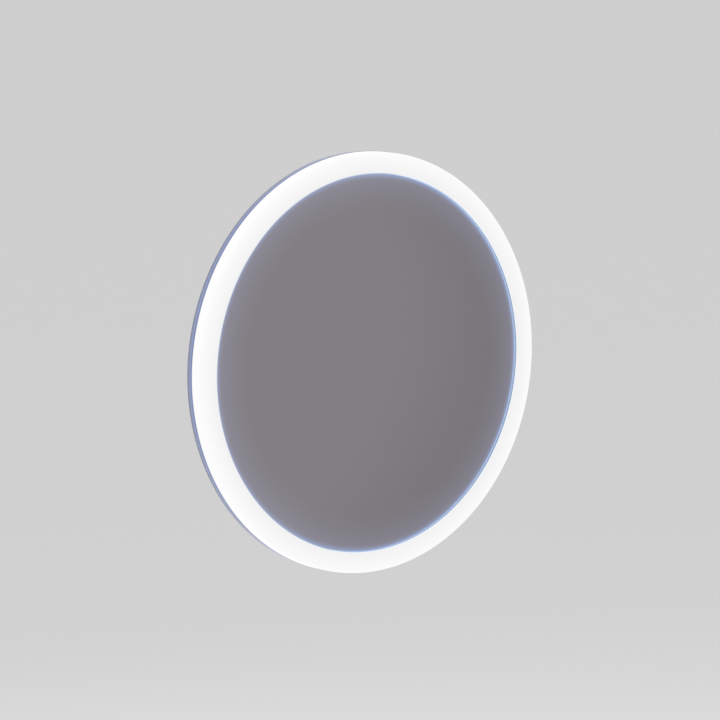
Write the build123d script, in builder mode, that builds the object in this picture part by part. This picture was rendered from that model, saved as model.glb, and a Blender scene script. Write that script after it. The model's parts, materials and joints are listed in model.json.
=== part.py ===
from build123d import *
import math
import os

# Round wall mirror with a lit acrylic ring around the glass, in millimetres.
# The wall is the plane y = 0, the mirror faces -Y and +Z is up.
# The origin lies on the wall, midway between the wall bracket's two screw holes.
# Depths are measured from the wall towards the room, radii from the mirror's own axis.

# Light ring and clear ring
ring_diameter = 600.0
band_width = 29.5
side_depth = 21.5
acrylic_wall = 3.0
ring_edge_radius = 2.5
ring_inner_edge_radius = 0.5
clear_ring_thickness = 8.0
clear_ring_bearing_width = 4.0
clear_ring_chamfer = 0.6
wall_gap = 10.0

# Glass
glass_thickness = 5.0
glass_setback = 0.6
glass_edge_gap = 0.4
glass_chamfer = 0.6
backing_thickness = 0.4
backing_inset = 0.5
tape_thickness = 1.0
outer_tape_inset = 24.1
inner_tape_radius = 110.0
tape_width = 19.0

# Chassis and back cover
chassis_thickness = 2.0
flange_width = 13.5
cover_thickness = 1.2
gasket_thickness = 0.8
gasket_side_gap = 0.5
film_thickness = 0.3
film_edge_gap = 0.6
cover_screw_count = 12
screw_radius = 1.95
screw_gap = 0.06
screw_head_radius = 3.7
screw_head_height = 2.1
screw_reach = 1.2

# Proportions shared by all pan heads: rounding, and the cross cut in them
head_rounding = 0.4
cross_length = 1.1
cross_width = 0.22
cross_depth = 0.55

# Light source
led_count = 96
led_length = 3.5
led_width = 2.8
led_height = 0.8
led_tape_width = 8.0
led_tape_thickness = 0.4
led_tape_joint = 4.0
led_tape_glue = 0.05

# Hanging
mirror_drop = 150.0
bracket_length = 300.0
bracket_thickness = 1.5
bracket_plate_depth = 16.0
bracket_shelf_height = 10.0
lip_height = 12.0
hole_spacing = 240.0
wall_hole_radius = 2.75
rail_length = 280.0
rail_height = 21.7
hook_gap = 0.7
hook_seat_gap = 0.3
hook_bottom_gap = 1.2
bracket_corner_radius = 4.0
rivet_row_height = 10.2
rivet_spacing = 80.0
rivet_count = 4
rivet_radius = 1.9
rivet_head_radius = 4.0
rivet_head_height = 1.1
rivet_head_rounding = 0.88
rivet_tail_radius = 3.2
rivet_tail_height = 1.4

# Wall spacers
foot_ring_gap = 4.2
foot_angle = 48.92
pad_radius = 9.0
pad_thickness = 2.6
pad_floor = 0.9
pad_edge_radius = 0.78
foot_disc_radius = 4.2
foot_disc_height = 0.9
foot_neck_radius = 2.95
foot_gap = 0.1
foot_wheel_radius = 8.0
foot_wheel_height = 2.3
foot_wheel_gap = 0.3
foot_wheel_grips = 18
foot_grip_radius = 0.7
foot_stud_radius = 2.5
foot_stud_gap = 0.06
foot_stud_length = 17.0
foot_stud_chamfer = 0.5
foot_nut_height = 4.0
foot_nut_radius = 4.6

# Push switch under the lower edge
switch_width = 26.0
switch_length = 44.0
switch_overhang = 5.0
switch_corner_radius = 2.0
switch_wall_gap = 1.2
switch_wall = 1.8
switch_mouth_wall = 4.0
switch_ear_width = 11.0
switch_ear_height = 12.0
switch_ear_rise = 30.0
switch_ear_thickness = 2.5
switch_screw_radius = 1.45
switch_screw_head_radius = 2.8
switch_screw_head_height = 1.6
switch_screw_reach = 2.0
button_cap_width = 16.0
button_cap_height = 4.5
button_cap_corner_radius = 1.2
button_neck_width = 12.0
button_head_width = 15.0
button_head_height = 9.0
button_gap = 0.3
button_travel = 1.5
button_stop_gap = 0.5
spring_radius = 1.3
spring_wire_radius = 0.2
spring_turns = 7
spring_room_length = 13.0
contact_width = 2.0
contact_length = 7.0
contact_thickness = 0.5
contact_spacing = 6.0

# Driver
driver_x = 50.0
driver_z = -100.0
driver_length = 150.0
driver_width = 42.0
driver_height = 17.0
driver_thickness = 1.2
driver_ear_length = 10.0
driver_ear_width = 21.0
driver_ear_corner_radius = 3.0
driver_lid_corner_radius = 1.5
driver_lid_lap_height = 4.0
board_thickness = 1.6
board_lift_height = 3.0
board_edge_gap = 0.6
board_post_inset = 6.0
board_post_radius = 1.8
driver_screw_radius = 1.95
driver_screw_head_radius = 3.4
driver_screw_head_height = 2.0
transformer_width = 22.0
transformer_height = 8.0
transformer_notch_depth = 3.0
transformer_notch_width = 11.0
capacitor_radius = 4.0
capacitor_length = 14.0
capacitor_spacing = 12.0
capacitor_offset = 45.0

# Mains terminals, earth and cable entry
terminal_x = -110.0
terminal_z = -20.0
pole_spacing = 11.0
pole_count = 3
terminal_depth = 17.0
terminal_height = 14.0
terminal_corner_radius = 1.0
terminal_end_wall = 3.7
wire_axis_height = 5.5
cage_radius = 2.9
cage_bore_radius = 1.9
cage_gap = 0.05
terminal_screw_radius = 1.6
terminal_screw_spacing = 9.0
terminal_screw_room_depth = 2.0
terminal_screw_reach = 0.95
terminal_slot_width = 0.65
terminal_slot_depth = 0.95
terminal_well_gap = 0.24
terminal_fixing_radius = 1.45
terminal_fixing_head_radius = 2.2
terminal_fixing_head_height = 1.8
grommet_x = -40.0
grommet_z = 30.0
grommet_bore_radius = 4.0
grommet_neck_radius = 6.5
grommet_flange_radius = 9.5
grommet_flange_thickness = 1.5
grommet_edge_radius = 0.6
clamp_offset = 36.0
clamp_length = 28.0
clamp_width = 9.0
clamp_height = 8.0
clamp_channel_radius = 3.8
clamp_corner_radius = 2.0
clamp_screw_spacing = 20.0
earth_x = -150.0
earth_z = -75.0
earth_stud_radius = 1.95
earth_stud_length = 15.0
earth_shoulder_radius = 4.0
earth_tag_radius = 4.4
earth_tag_thickness = 0.8
earth_neck_length = 2.2
earth_barrel_lap = 0.4
earth_barrel_radius = 1.7
earth_barrel_length = 5.0
earth_washer_radius = 4.2
earth_washer_thickness = 0.8
earth_washer_teeth = 12
earth_tooth_radius = 0.4
earth_nut_radius = 4.0
earth_nut_height = 3.2
earth_gap = 0.06

# Internal leads
lead_radius = 1.2
lead_end_gap = 0.3
lead_pair_spacing = 3.6
mains_lead_pitch = 14.0
mains_bend_radius = 14.0
earth_bend_radius = 6.0
feed_bend_radius = 60.0
feed_hole_angle = -28.0
switch_lead_bend_radius = 10.0
switch_lead_rise = 38.0
clip_width = 8.0
clip_length = 6.0
clip_wall = 1.4
clip_gap = 0.08
feed_clip_offset = 16.0

# Radii and heights that follow from the sizes above, heights from the mirror's centre
ring_radius = ring_diameter / 2
band_inner_radius = ring_radius - band_width
glass_radius = band_inner_radius - glass_edge_gap
chassis_radius = band_inner_radius + acrylic_wall
chassis_inner_radius = chassis_radius - chassis_thickness
flange_radius = chassis_radius + flange_width
screw_circle_radius = chassis_radius + flange_width / 2
clear_ring_inner_radius = chassis_inner_radius - clear_ring_bearing_width
cover_radius = flange_radius
outer_tape_radius = glass_radius - outer_tape_inset
foot_circle_radius = clear_ring_inner_radius - foot_ring_gap - foot_nut_radius
foot_x = foot_circle_radius * math.cos(math.radians(foot_angle))
foot_z = -foot_circle_radius * math.sin(math.radians(foot_angle))
switch_bottom = -cover_radius - switch_overhang
switch_top = switch_bottom + switch_length
switch_ear_z = switch_bottom + switch_ear_rise
switch_lead_z = switch_bottom + switch_lead_rise

# Depths that follow from the sizes above
clear_ring_back = wall_gap
clear_ring_front = clear_ring_back + clear_ring_thickness
ring_front = clear_ring_front + side_depth
glass_front = ring_front - glass_setback
glass_back = glass_front - glass_thickness
backing_back = glass_back - backing_thickness
chassis_front = backing_back - tape_thickness
chassis_back = chassis_front - chassis_thickness
flange_front = clear_ring_front + chassis_thickness
cover_front = clear_ring_back - gasket_thickness
cover_back = cover_front - cover_thickness
wire_depth = chassis_back - wire_axis_height
mirror_z = -mirror_drop

# Planes and axes
ring_axis = Axis((0, 0, mirror_z), (0, 1, 0))
section = Plane(origin=(0, 0, mirror_z), x_dir=(1, 0, 0), z_dir=(0, 0, -1))
side = Plane(origin=(0, 0, 0), x_dir=(0, -1, 0), z_dir=(-1, 0, 0))


def facing(depth, x=0.0, z=0.0):
    # A plane that faces the room at a depth, placed from the mirror's centre
    return Plane(origin=(x, -depth, mirror_z + z), x_dir=(1, 0, 0), z_dir=(0, -1, 0))


def place(x, depth, z):
    # A point from its place on the mirror and its depth from the wall
    return (x, -depth, mirror_z + z)


def around(radius, angle):
    # A point on a circle about the mirror's axis, the angle counted from +X towards +Z
    return (radius * math.cos(math.radians(angle)), radius * math.sin(math.radians(angle)))


def screw_places():
    # The cover screws' centres, none of them at the top or bottom
    step = 360 / cover_screw_count
    return [around(screw_circle_radius, step * (turn + 0.5)) for turn in range(cover_screw_count)]


def screws(places, head_depth, head_radius, head_height, shank_radius, length):
    # Pan-head screws driven from the wall side, their heads against the plane at head_depth
    with BuildPart() as group:
        with BuildSketch(facing(head_depth - head_height)):
            with Locations(*places):
                Circle(head_radius)
        extrude(amount=head_height)
        fillet(group.edges().group_by(Axis.Y)[-1], head_height * head_rounding)
        with BuildSketch(facing(head_depth)):
            with Locations(*places):
                Circle(shank_radius)
        extrude(amount=length)
        with BuildSketch(facing(head_depth - head_height)):
            with Locations(*places):
                Rectangle(head_radius * cross_length, head_radius * cross_width)
                Rectangle(head_radius * cross_width, head_radius * cross_length)
        extrude(amount=head_height * cross_depth, mode=Mode.SUBTRACT)
    return group.part


def lead(points, bend):
    # A round wire along straight runs joined by tangent arcs
    with BuildPart() as wire:
        with BuildLine() as route:
            FilletPolyline(*points, radius=bend)
        with BuildSketch(Plane(origin=route.line @ 0, z_dir=route.line % 0)):
            Circle(lead_radius)
        sweep()
    print(f"lead of {route.wire().length:.0f} mm, bend {bend:.0f} mm")
    return wire.part


# Opal light ring: lit band in front, lit wall outside, and a lip that stands on the chassis
with BuildPart() as light_ring:
    with BuildSketch(section):
        with BuildLine():
            Polyline(
                (ring_radius - acrylic_wall, clear_ring_front),
                (ring_radius, clear_ring_front),
                (ring_radius, ring_front),
                (band_inner_radius, ring_front),
                (band_inner_radius, chassis_front),
                (chassis_radius, chassis_front),
                (chassis_radius, ring_front - acrylic_wall),
                (ring_radius - acrylic_wall, ring_front - acrylic_wall),
                close=True,
            )
        make_face()
    revolve(axis=ring_axis)
    front_edges = light_ring.edges().filter_by(GeomType.CIRCLE).group_by(Axis.Y)[0].sort_by(SortBy.RADIUS)
    fillet(front_edges[-1], ring_edge_radius)
    fillet(front_edges[0], ring_inner_edge_radius)
light_ring.part.label = "light_ring"

# Clear ring behind it, which lets light out to the wall and carries the cover screws
with BuildPart() as clear_ring:
    with BuildSketch(facing(clear_ring_back)):
        Circle(ring_radius)
        Circle(clear_ring_inner_radius, mode=Mode.SUBTRACT)
        with Locations(*screw_places()):
            Circle(screw_radius + screw_gap, mode=Mode.SUBTRACT)
    extrude(amount=clear_ring_thickness)
    back_edges = clear_ring.edges().filter_by(GeomType.CIRCLE).group_by(Axis.Y)[-1]
    chamfer(back_edges.sort_by(SortBy.RADIUS)[-1], clear_ring_chamfer)
clear_ring.part.label = "clear_ring"

# Mirror glass with its edges ground
with BuildPart() as mirror_glass:
    with BuildSketch(facing(glass_back)):
        Circle(glass_radius)
    extrude(amount=glass_thickness)
    chamfer(mirror_glass.edges().filter_by(GeomType.CIRCLE).group_by(Axis.Y)[0], glass_chamfer)
mirror_glass.part.label = "mirror_glass"

# Silvered backing film behind the glass
with BuildPart() as silver_backing:
    with BuildSketch(facing(backing_back)):
        Circle(glass_radius - backing_inset)
    extrude(amount=backing_thickness)
silver_backing.part.label = "silver_backing"

# Foam tape rings that hold the glass to the chassis
with BuildPart() as mounting_tape:
    with BuildSketch(facing(chassis_front)):
        Circle(outer_tape_radius)
        Circle(outer_tape_radius - tape_width, mode=Mode.SUBTRACT)
        Circle(inner_tape_radius)
        Circle(inner_tape_radius - tape_width, mode=Mode.SUBTRACT)
    extrude(amount=tape_thickness)
mounting_tape.part.label = "mounting_tape"

# Where the driver, the terminal block, the clamp and the earth stud are fixed to the chassis
driver_fixings = [
    (driver_x + side_sign * (driver_length / 2 + driver_ear_length / 2), driver_z) for side_sign in (-1, 1)
]
terminal_fixings = [
    (terminal_x + side_sign * pole_spacing / 2, terminal_z) for side_sign in (-1, 1)
]
clamp_x = grommet_x - clamp_offset
clamp_fixings = [
    (clamp_x, grommet_z + side_sign * clamp_screw_spacing / 2) for side_sign in (-1, 1)
]

# Feed leads leave through the chassis rim along a radius
feed_direction = around(1.0, feed_hole_angle)
feed_across = (-feed_direction[1], feed_direction[0])
feed_hole_radius = lead_radius + lead_end_gap
feed_offsets = (-lead_pair_spacing / 2, lead_pair_spacing / 2)

# Spun chassis: face plate, rim that carries the light source, and the flange the cover screws reach
with BuildPart() as chassis:
    with BuildSketch(section):
        with BuildLine():
            Polyline(
                (0, chassis_back),
                (chassis_inner_radius, chassis_back),
                (chassis_inner_radius, clear_ring_front),
                (flange_radius, clear_ring_front),
                (flange_radius, flange_front),
                (chassis_radius, flange_front),
                (chassis_radius, chassis_front),
                (0, chassis_front),
                close=True,
            )
        make_face()
    revolve(axis=ring_axis)
    with BuildSketch(facing(clear_ring_front)):
        with Locations(*screw_places()):
            Circle(screw_radius + screw_gap)
    extrude(amount=chassis_thickness, mode=Mode.SUBTRACT)
    with BuildSketch(facing(chassis_back)):
        with Locations(*driver_fixings, (earth_x, earth_z)):
            Circle(driver_screw_radius + screw_gap)
        with Locations(*terminal_fixings, *clamp_fixings):
            Circle(terminal_fixing_radius + screw_gap)
    extrude(amount=chassis_thickness, mode=Mode.SUBTRACT)
    rim_middle = chassis_inner_radius + chassis_thickness / 2
    for offset_across in feed_offsets:
        hole_x = rim_middle * feed_direction[0] + offset_across * feed_across[0]
        hole_z = rim_middle * feed_direction[1] + offset_across * feed_across[1]
        hole_plane = Plane(
            origin=place(hole_x, wire_depth, hole_z),
            z_dir=(feed_direction[0], 0, feed_direction[1]),
        )
        with BuildSketch(hole_plane):
            Circle(feed_hole_radius)
        extrude(amount=chassis_thickness, both=True, mode=Mode.SUBTRACT)
chassis.part.label = "chassis"

# White film on the flange that throws light forward
with BuildPart() as reflector_film:
    with BuildSketch(facing(flange_front)):
        Circle(flange_radius)
        Circle(chassis_radius + film_edge_gap, mode=Mode.SUBTRACT)
        with Locations(*screw_places()):
            Circle(screw_radius + film_edge_gap, mode=Mode.SUBTRACT)
    extrude(amount=film_thickness)
reflector_film.part.label = "reflector_film"

# Flexible circuit tape glued round the rim, its two ends meeting at the bottom
tape_middle = (flange_front + chassis_front) / 2
tape_inner_radius = chassis_radius + led_tape_glue
tape_outer_radius = tape_inner_radius + led_tape_thickness
with BuildPart() as led_tape:
    with BuildSketch(facing(tape_middle - led_tape_width / 2)):
        Circle(tape_outer_radius)
        Circle(tape_inner_radius, mode=Mode.SUBTRACT)
        with Locations((0, -chassis_radius)):
            Rectangle(led_tape_joint, chassis_thickness * 2, mode=Mode.SUBTRACT)
    extrude(amount=led_tape_width)
led_tape.part.label = "led_tape"

# Light-emitting diodes on the tape, facing outwards
with BuildPart() as leds:
    with BuildSketch(facing(tape_middle - led_width / 2)):
        led_circle = tape_outer_radius + led_tape_glue + led_height / 2
        with PolarLocations(led_circle, led_count, start_angle=180 / led_count):
            Rectangle(led_height, led_length)
    extrude(amount=led_width)
leds.part.label = "leds"

# Back cover with its screw holes, cable hole, rivet holes and spacer holes
rail_bottom = bracket_shelf_height + lip_height + hook_seat_gap
rivet_z = rail_bottom + bracket_thickness + rivet_row_height - mirror_z
rivet_places = [(rivet_spacing * (step - (rivet_count - 1) / 2), rivet_z) for step in range(rivet_count)]
foot_places = [(side_sign * foot_x, foot_z) for side_sign in (-1, 1)]
ear_x = (switch_width + switch_ear_width) / 2
switch_fixings = [(side_sign * ear_x, switch_ear_z) for side_sign in (-1, 1)]
with BuildPart() as back_cover:
    with BuildSketch(facing(cover_back)):
        Circle(cover_radius)
        with Locations(*screw_places()):
            Circle(screw_radius + screw_gap, mode=Mode.SUBTRACT)
        with Locations((grommet_x, grommet_z)):
            Circle(grommet_neck_radius + screw_gap, mode=Mode.SUBTRACT)
        with Locations(*rivet_places):
            Circle(rivet_radius + screw_gap, mode=Mode.SUBTRACT)
        with Locations(*foot_places):
            Circle(foot_stud_radius + foot_stud_gap, mode=Mode.SUBTRACT)
        with Locations(*switch_fixings):
            Circle(switch_screw_radius + screw_gap, mode=Mode.SUBTRACT)
        with Locations((0, switch_lead_z)):
            Circle(lead_radius + lead_end_gap, mode=Mode.SUBTRACT)
    extrude(amount=cover_thickness)
back_cover.part.label = "back_cover"

# Foam gasket between the cover and the clear ring
with BuildPart() as cover_gasket:
    with BuildSketch(facing(cover_front)):
        Circle(cover_radius - gasket_side_gap)
        Circle(clear_ring_inner_radius + gasket_side_gap, mode=Mode.SUBTRACT)
        with Locations(*screw_places()):
            Circle(screw_radius + gasket_side_gap, mode=Mode.SUBTRACT)
    extrude(amount=gasket_thickness)
cover_gasket.part.label = "cover_gasket"

# Screws that clamp cover, gasket and clear ring to the chassis flange
cover_screw_length = flange_front + screw_reach - cover_back
cover_screws = screws(
    screw_places(), cover_back, screw_head_radius, screw_head_height, screw_radius, cover_screw_length
)
cover_screws.label = "cover_screws"

# Wall bracket: flat plate, shelf and upturned lip
lip_back = 2 * bracket_thickness + 2 * hook_gap
with BuildPart() as wall_bracket:
    with BuildSketch(side):
        with BuildLine():
            Polyline(
                (0, -bracket_plate_depth),
                (bracket_thickness, -bracket_plate_depth),
                (bracket_thickness, bracket_shelf_height - bracket_thickness),
                (lip_back + bracket_thickness, bracket_shelf_height - bracket_thickness),
                (lip_back + bracket_thickness, bracket_shelf_height + lip_height),
                (lip_back, bracket_shelf_height + lip_height),
                (lip_back, bracket_shelf_height),
                (0, bracket_shelf_height),
                close=True,
            )
        make_face()
    extrude(amount=bracket_length / 2, both=True)
    lower_corners = wall_bracket.edges().filter_by(Axis.Y).group_by(Axis.Z)[0]
    fillet(lower_corners, bracket_corner_radius)
    with Locations(Plane(origin=(0, 0, 0), x_dir=(1, 0, 0), z_dir=(0, -1, 0))):
        with GridLocations(hole_spacing, 1, 2, 1):
            Hole(wall_hole_radius, depth=2 * bracket_thickness)
wall_bracket.part.label = "wall_bracket"

# Hanger rail on the cover: plate, shelf and a lip that drops behind the bracket's lip
rail_lip_back = bracket_thickness + hook_gap
rail_plate_back = cover_back - bracket_thickness
with BuildPart() as hanger_rail:
    with BuildSketch(side):
        with BuildLine():
            Polyline(
                (rail_lip_back, bracket_shelf_height + hook_bottom_gap),
                (rail_lip_back + bracket_thickness, bracket_shelf_height + hook_bottom_gap),
                (rail_lip_back + bracket_thickness, rail_bottom),
                (cover_back, rail_bottom),
                (cover_back, rail_bottom + rail_height),
                (rail_plate_back, rail_bottom + rail_height),
                (rail_plate_back, rail_bottom + bracket_thickness),
                (rail_lip_back, rail_bottom + bracket_thickness),
                close=True,
            )
        make_face()
    extrude(amount=rail_length / 2, both=True)
    upper_corners = hanger_rail.edges().filter_by(Axis.Y).group_by(Axis.Z)[-1]
    fillet(upper_corners, bracket_corner_radius)
    with BuildSketch(facing(rail_plate_back)):
        with Locations(*rivet_places):
            Circle(rivet_radius + screw_gap)
    extrude(amount=bracket_thickness, mode=Mode.SUBTRACT)
hanger_rail.part.label = "hanger_rail"

# Rivets through rail and cover
with BuildPart() as rail_rivets:
    with BuildSketch(facing(rail_plate_back - rivet_head_height)):
        with Locations(*rivet_places):
            Circle(rivet_head_radius)
    extrude(amount=rivet_head_height)
    fillet(rail_rivets.edges().group_by(Axis.Y)[-1], rivet_head_rounding)
    with BuildSketch(facing(rail_plate_back)):
        with Locations(*rivet_places):
            Circle(rivet_radius)
    extrude(amount=bracket_thickness + cover_thickness)
    with BuildSketch(facing(cover_front)):
        with Locations(*rivet_places):
            Circle(rivet_tail_radius)
    extrude(amount=rivet_tail_height)
rail_rivets.part.label = "rail_rivets"


def foot_pad(x):
    # Rubber pad that snaps over the stud's disc
    with BuildPart() as pad:
        with BuildSketch(facing(0, x, foot_z)):
            Circle(pad_radius)
        extrude(amount=pad_thickness)
        fillet(pad.edges().group_by(Axis.Y)[0], pad_edge_radius)
        with BuildSketch(facing(pad_floor, x, foot_z)):
            Circle(foot_disc_radius + foot_gap)
        extrude(amount=foot_disc_height + 2 * foot_gap, mode=Mode.SUBTRACT)
        with BuildSketch(facing(pad_floor, x, foot_z)):
            Circle(foot_neck_radius + foot_gap)
        extrude(amount=pad_thickness, mode=Mode.SUBTRACT)
    return pad.part


def foot_stud(x):
    # Disc, neck, grip wheel and threaded length of a wall spacer
    disc_back = pad_floor + foot_gap
    wheel_back = pad_thickness + foot_wheel_gap
    with BuildPart() as stud:
        with BuildSketch(facing(disc_back, x, foot_z)):
            Circle(foot_disc_radius)
        extrude(amount=foot_disc_height)
        with BuildSketch(facing(disc_back, x, foot_z)):
            Circle(foot_neck_radius)
        extrude(amount=wheel_back - disc_back)
        with BuildSketch(facing(wheel_back, x, foot_z)):
            Circle(foot_wheel_radius)
            with PolarLocations(foot_wheel_radius, foot_wheel_grips):
                Circle(foot_grip_radius, mode=Mode.SUBTRACT)
        extrude(amount=foot_wheel_height)
        with BuildSketch(facing(wheel_back + foot_wheel_height, x, foot_z)):
            Circle(foot_stud_radius)
        extrude(amount=foot_stud_length)
        chamfer(stud.edges().group_by(Axis.Y)[0], foot_stud_chamfer)
    return stud.part


left_foot_pad = foot_pad(-foot_x)
left_foot_pad.label = "left_foot_pad"
right_foot_pad = foot_pad(foot_x)
right_foot_pad.label = "right_foot_pad"
left_foot_stud = foot_stud(-foot_x)
left_foot_stud.label = "left_foot_stud"
right_foot_stud = foot_stud(foot_x)
right_foot_stud.label = "right_foot_stud"

# Weld nuts inside the cover that the spacers turn in
with BuildPart() as foot_nuts:
    with BuildSketch(facing(cover_front)):
        with Locations(*foot_places):
            RegularPolygon(foot_nut_radius, 6)
            Circle(foot_stud_radius + foot_stud_gap, mode=Mode.SUBTRACT)
    extrude(amount=foot_nut_height)
foot_nuts.part.label = "foot_nuts"

# Push switch housing behind the lower edge, open towards the cover that closes it
switch_back = switch_wall_gap
switch_depth = cover_back - switch_back
switch_middle = switch_back + switch_depth / 2
channel_depth = switch_depth - 2 * switch_wall
head_room = button_head_width + 2 * button_gap
head_shelf = switch_bottom + switch_mouth_wall
head_bottom = head_shelf + button_gap
head_top = head_bottom + button_head_height
spring_top = head_top + spring_room_length
with BuildPart() as switch_housing:
    with BuildSketch(facing(switch_back)):
        with Locations((0, (switch_top + switch_bottom) / 2)):
            RectangleRounded(switch_width, switch_length, switch_corner_radius)
    extrude(amount=switch_depth)
    with BuildSketch(facing(cover_back - switch_ear_thickness)):
        with Locations(*switch_fixings):
            RectangleRounded(switch_ear_width + 2 * switch_wall, switch_ear_height, switch_wall)
    extrude(amount=switch_ear_thickness)
    with BuildSketch(facing(cover_back - switch_ear_thickness)):
        with Locations(*switch_fixings):
            Circle(switch_screw_radius + screw_gap)
    extrude(amount=switch_ear_thickness, mode=Mode.SUBTRACT)
    with BuildSketch(facing(switch_back + switch_wall)):
        with Locations((0, (switch_bottom + head_shelf) / 2)):
            Rectangle(button_neck_width + 2 * button_gap, switch_mouth_wall)
        with Locations((0, (head_shelf + spring_top) / 2)):
            Rectangle(head_room, spring_top - head_shelf)
    extrude(amount=channel_depth, mode=Mode.SUBTRACT)
    contact_room = 2 * contact_spacing
    with BuildSketch(facing(switch_back + switch_wall)):
        with Locations((0, switch_lead_z)):
            Rectangle(contact_room, contact_length + 2 * button_gap)
    extrude(amount=switch_depth, mode=Mode.SUBTRACT)
switch_housing.part.label = "switch_housing"

# Button: cap below the housing, neck through its mouth, head above the shelf
button_depth = channel_depth - 2 * button_gap
cap_top = switch_bottom - button_travel - button_stop_gap
with BuildPart() as switch_button:
    with BuildSketch(facing(switch_middle - button_depth / 2)):
        with Locations((0, cap_top - button_cap_height / 2)):
            RectangleRounded(button_cap_width, button_cap_height, button_cap_corner_radius)
        with Locations((0, (cap_top + head_bottom) / 2)):
            Rectangle(button_neck_width, head_bottom - cap_top)
        with Locations((0, (head_bottom + head_top) / 2)):
            Rectangle(button_head_width, button_head_height)
    extrude(amount=button_depth)
switch_button.part.label = "switch_button"

# Return spring between the button's head and the end of its channel
with BuildPart() as switch_spring:
    spring_height = spring_room_length - 2 * spring_wire_radius - 2 * button_gap
    spring_foot = place(0, switch_middle, head_top + spring_wire_radius + button_gap)
    with BuildLine() as coil:
        Helix(spring_height / spring_turns, spring_height, spring_radius, center=spring_foot)
    with BuildSketch(Plane(origin=coil.line @ 0, z_dir=coil.line % 0)):
        Circle(spring_wire_radius)
    sweep(is_frenet=True)
switch_spring.part.label = "switch_spring"

# Contact blades that stand on the housing's floor
with BuildPart() as switch_contacts:
    with BuildSketch(facing(switch_back + switch_wall)):
        with Locations((0, switch_lead_z)):
            with GridLocations(contact_spacing, 1, 2, 1):
                Rectangle(contact_thickness, contact_length)
    extrude(amount=switch_depth - 2 * switch_wall)
    with BuildSketch(facing(switch_back + switch_wall)):
        with Locations((0, switch_lead_z)):
            with GridLocations(contact_spacing, 1, 2, 1):
                Rectangle(contact_width, contact_length)
    extrude(amount=contact_thickness)
switch_contacts.part.label = "switch_contacts"

# Screws that hold the switch to the cover
switch_screws = screws(
    switch_fixings,
    cover_back - switch_ear_thickness,
    switch_screw_head_radius,
    switch_screw_head_height,
    switch_screw_radius,
    switch_ear_thickness + cover_thickness + switch_screw_reach,
)
switch_screws.label = "switch_screws"

# Driver tray on the chassis, with an ear at each end
driver_back = chassis_back - driver_height
driver_inner_length = driver_length - 2 * driver_thickness
driver_inner_width = driver_width - 2 * driver_thickness
with BuildPart() as driver_case:
    with BuildSketch(facing(chassis_back - driver_thickness, driver_x, driver_z)):
        RectangleRounded(
            driver_length + 2 * driver_ear_length, driver_ear_width, driver_ear_corner_radius
        )
        Rectangle(driver_length, driver_width)
    extrude(amount=driver_thickness)
    with BuildSketch(facing(driver_back + driver_thickness, driver_x, driver_z)):
        Rectangle(driver_length, driver_width)
        Rectangle(driver_inner_length, driver_inner_width, mode=Mode.SUBTRACT)
    extrude(amount=driver_height - 2 * driver_thickness)
    with BuildSketch(facing(chassis_back - driver_thickness)):
        with Locations(*driver_fixings):
            Circle(driver_screw_radius + screw_gap)
    extrude(amount=driver_thickness, mode=Mode.SUBTRACT)
driver_case.part.label = "driver_case"

# Driver lid with a skirt inside the tray's walls
with BuildPart() as driver_lid:
    with BuildSketch(facing(driver_back, driver_x, driver_z)):
        RectangleRounded(driver_length, driver_width, driver_lid_corner_radius)
    extrude(amount=driver_thickness)
    with BuildSketch(facing(driver_back + driver_thickness, driver_x, driver_z)):
        Rectangle(driver_inner_length - 2 * screw_gap, driver_inner_width - 2 * screw_gap)
        Rectangle(
            driver_inner_length - 2 * driver_thickness,
            driver_inner_width - 2 * driver_thickness,
            mode=Mode.SUBTRACT,
        )
    extrude(amount=driver_lid_lap_height)
driver_lid.part.label = "driver_lid"

# Driver board on four posts
board_front = chassis_back - driver_thickness - board_lift_height
board_back = board_front - board_thickness
board_post_spacing = driver_inner_length - 2 * board_post_inset
board_post_pitch = driver_inner_width - 2 * board_post_inset
with BuildPart() as driver_board:
    with BuildSketch(facing(board_back, driver_x, driver_z)):
        Rectangle(driver_inner_length - 2 * board_edge_gap, driver_inner_width - 2 * board_edge_gap)
    extrude(amount=board_thickness)
    with BuildSketch(facing(board_front, driver_x, driver_z)):
        with GridLocations(board_post_spacing, board_post_pitch, 2, 2):
            Circle(board_post_radius)
    extrude(amount=board_lift_height)
driver_board.part.label = "driver_board"

# Transformer on the board: ferrite core round a bobbin
with BuildPart() as driver_transformer:
    with BuildSketch(facing(board_back - transformer_height, driver_x, driver_z)):
        Rectangle(transformer_width, transformer_width)
        with GridLocations(transformer_width - transformer_notch_depth, 1, 2, 1):
            Rectangle(transformer_notch_depth, transformer_notch_width, mode=Mode.SUBTRACT)
    extrude(amount=transformer_height)
driver_transformer.part.label = "driver_transformer"

# Capacitors lying on the board, two at the mains end and two at the feed end
with BuildPart() as driver_capacitors:
    for end_sign in (-1, 1):
        start_x = driver_x + end_sign * capacitor_offset - capacitor_length / 2
        barrel_plane = Plane(
            origin=place(start_x, board_back - capacitor_radius, driver_z),
            x_dir=(0, 0, 1),
            z_dir=(1, 0, 0),
        )
        with BuildSketch(barrel_plane):
            with GridLocations(capacitor_spacing, 1, 2, 1):
                Circle(capacitor_radius)
        extrude(amount=capacitor_length)
driver_capacitors.part.label = "driver_capacitors"

# Screws through the driver's ears
driver_screws = screws(
    driver_fixings,
    chassis_back - driver_thickness,
    driver_screw_head_radius,
    driver_screw_head_height,
    driver_screw_radius,
    driver_thickness + chassis_thickness,
)
driver_screws.label = "driver_screws"

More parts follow.
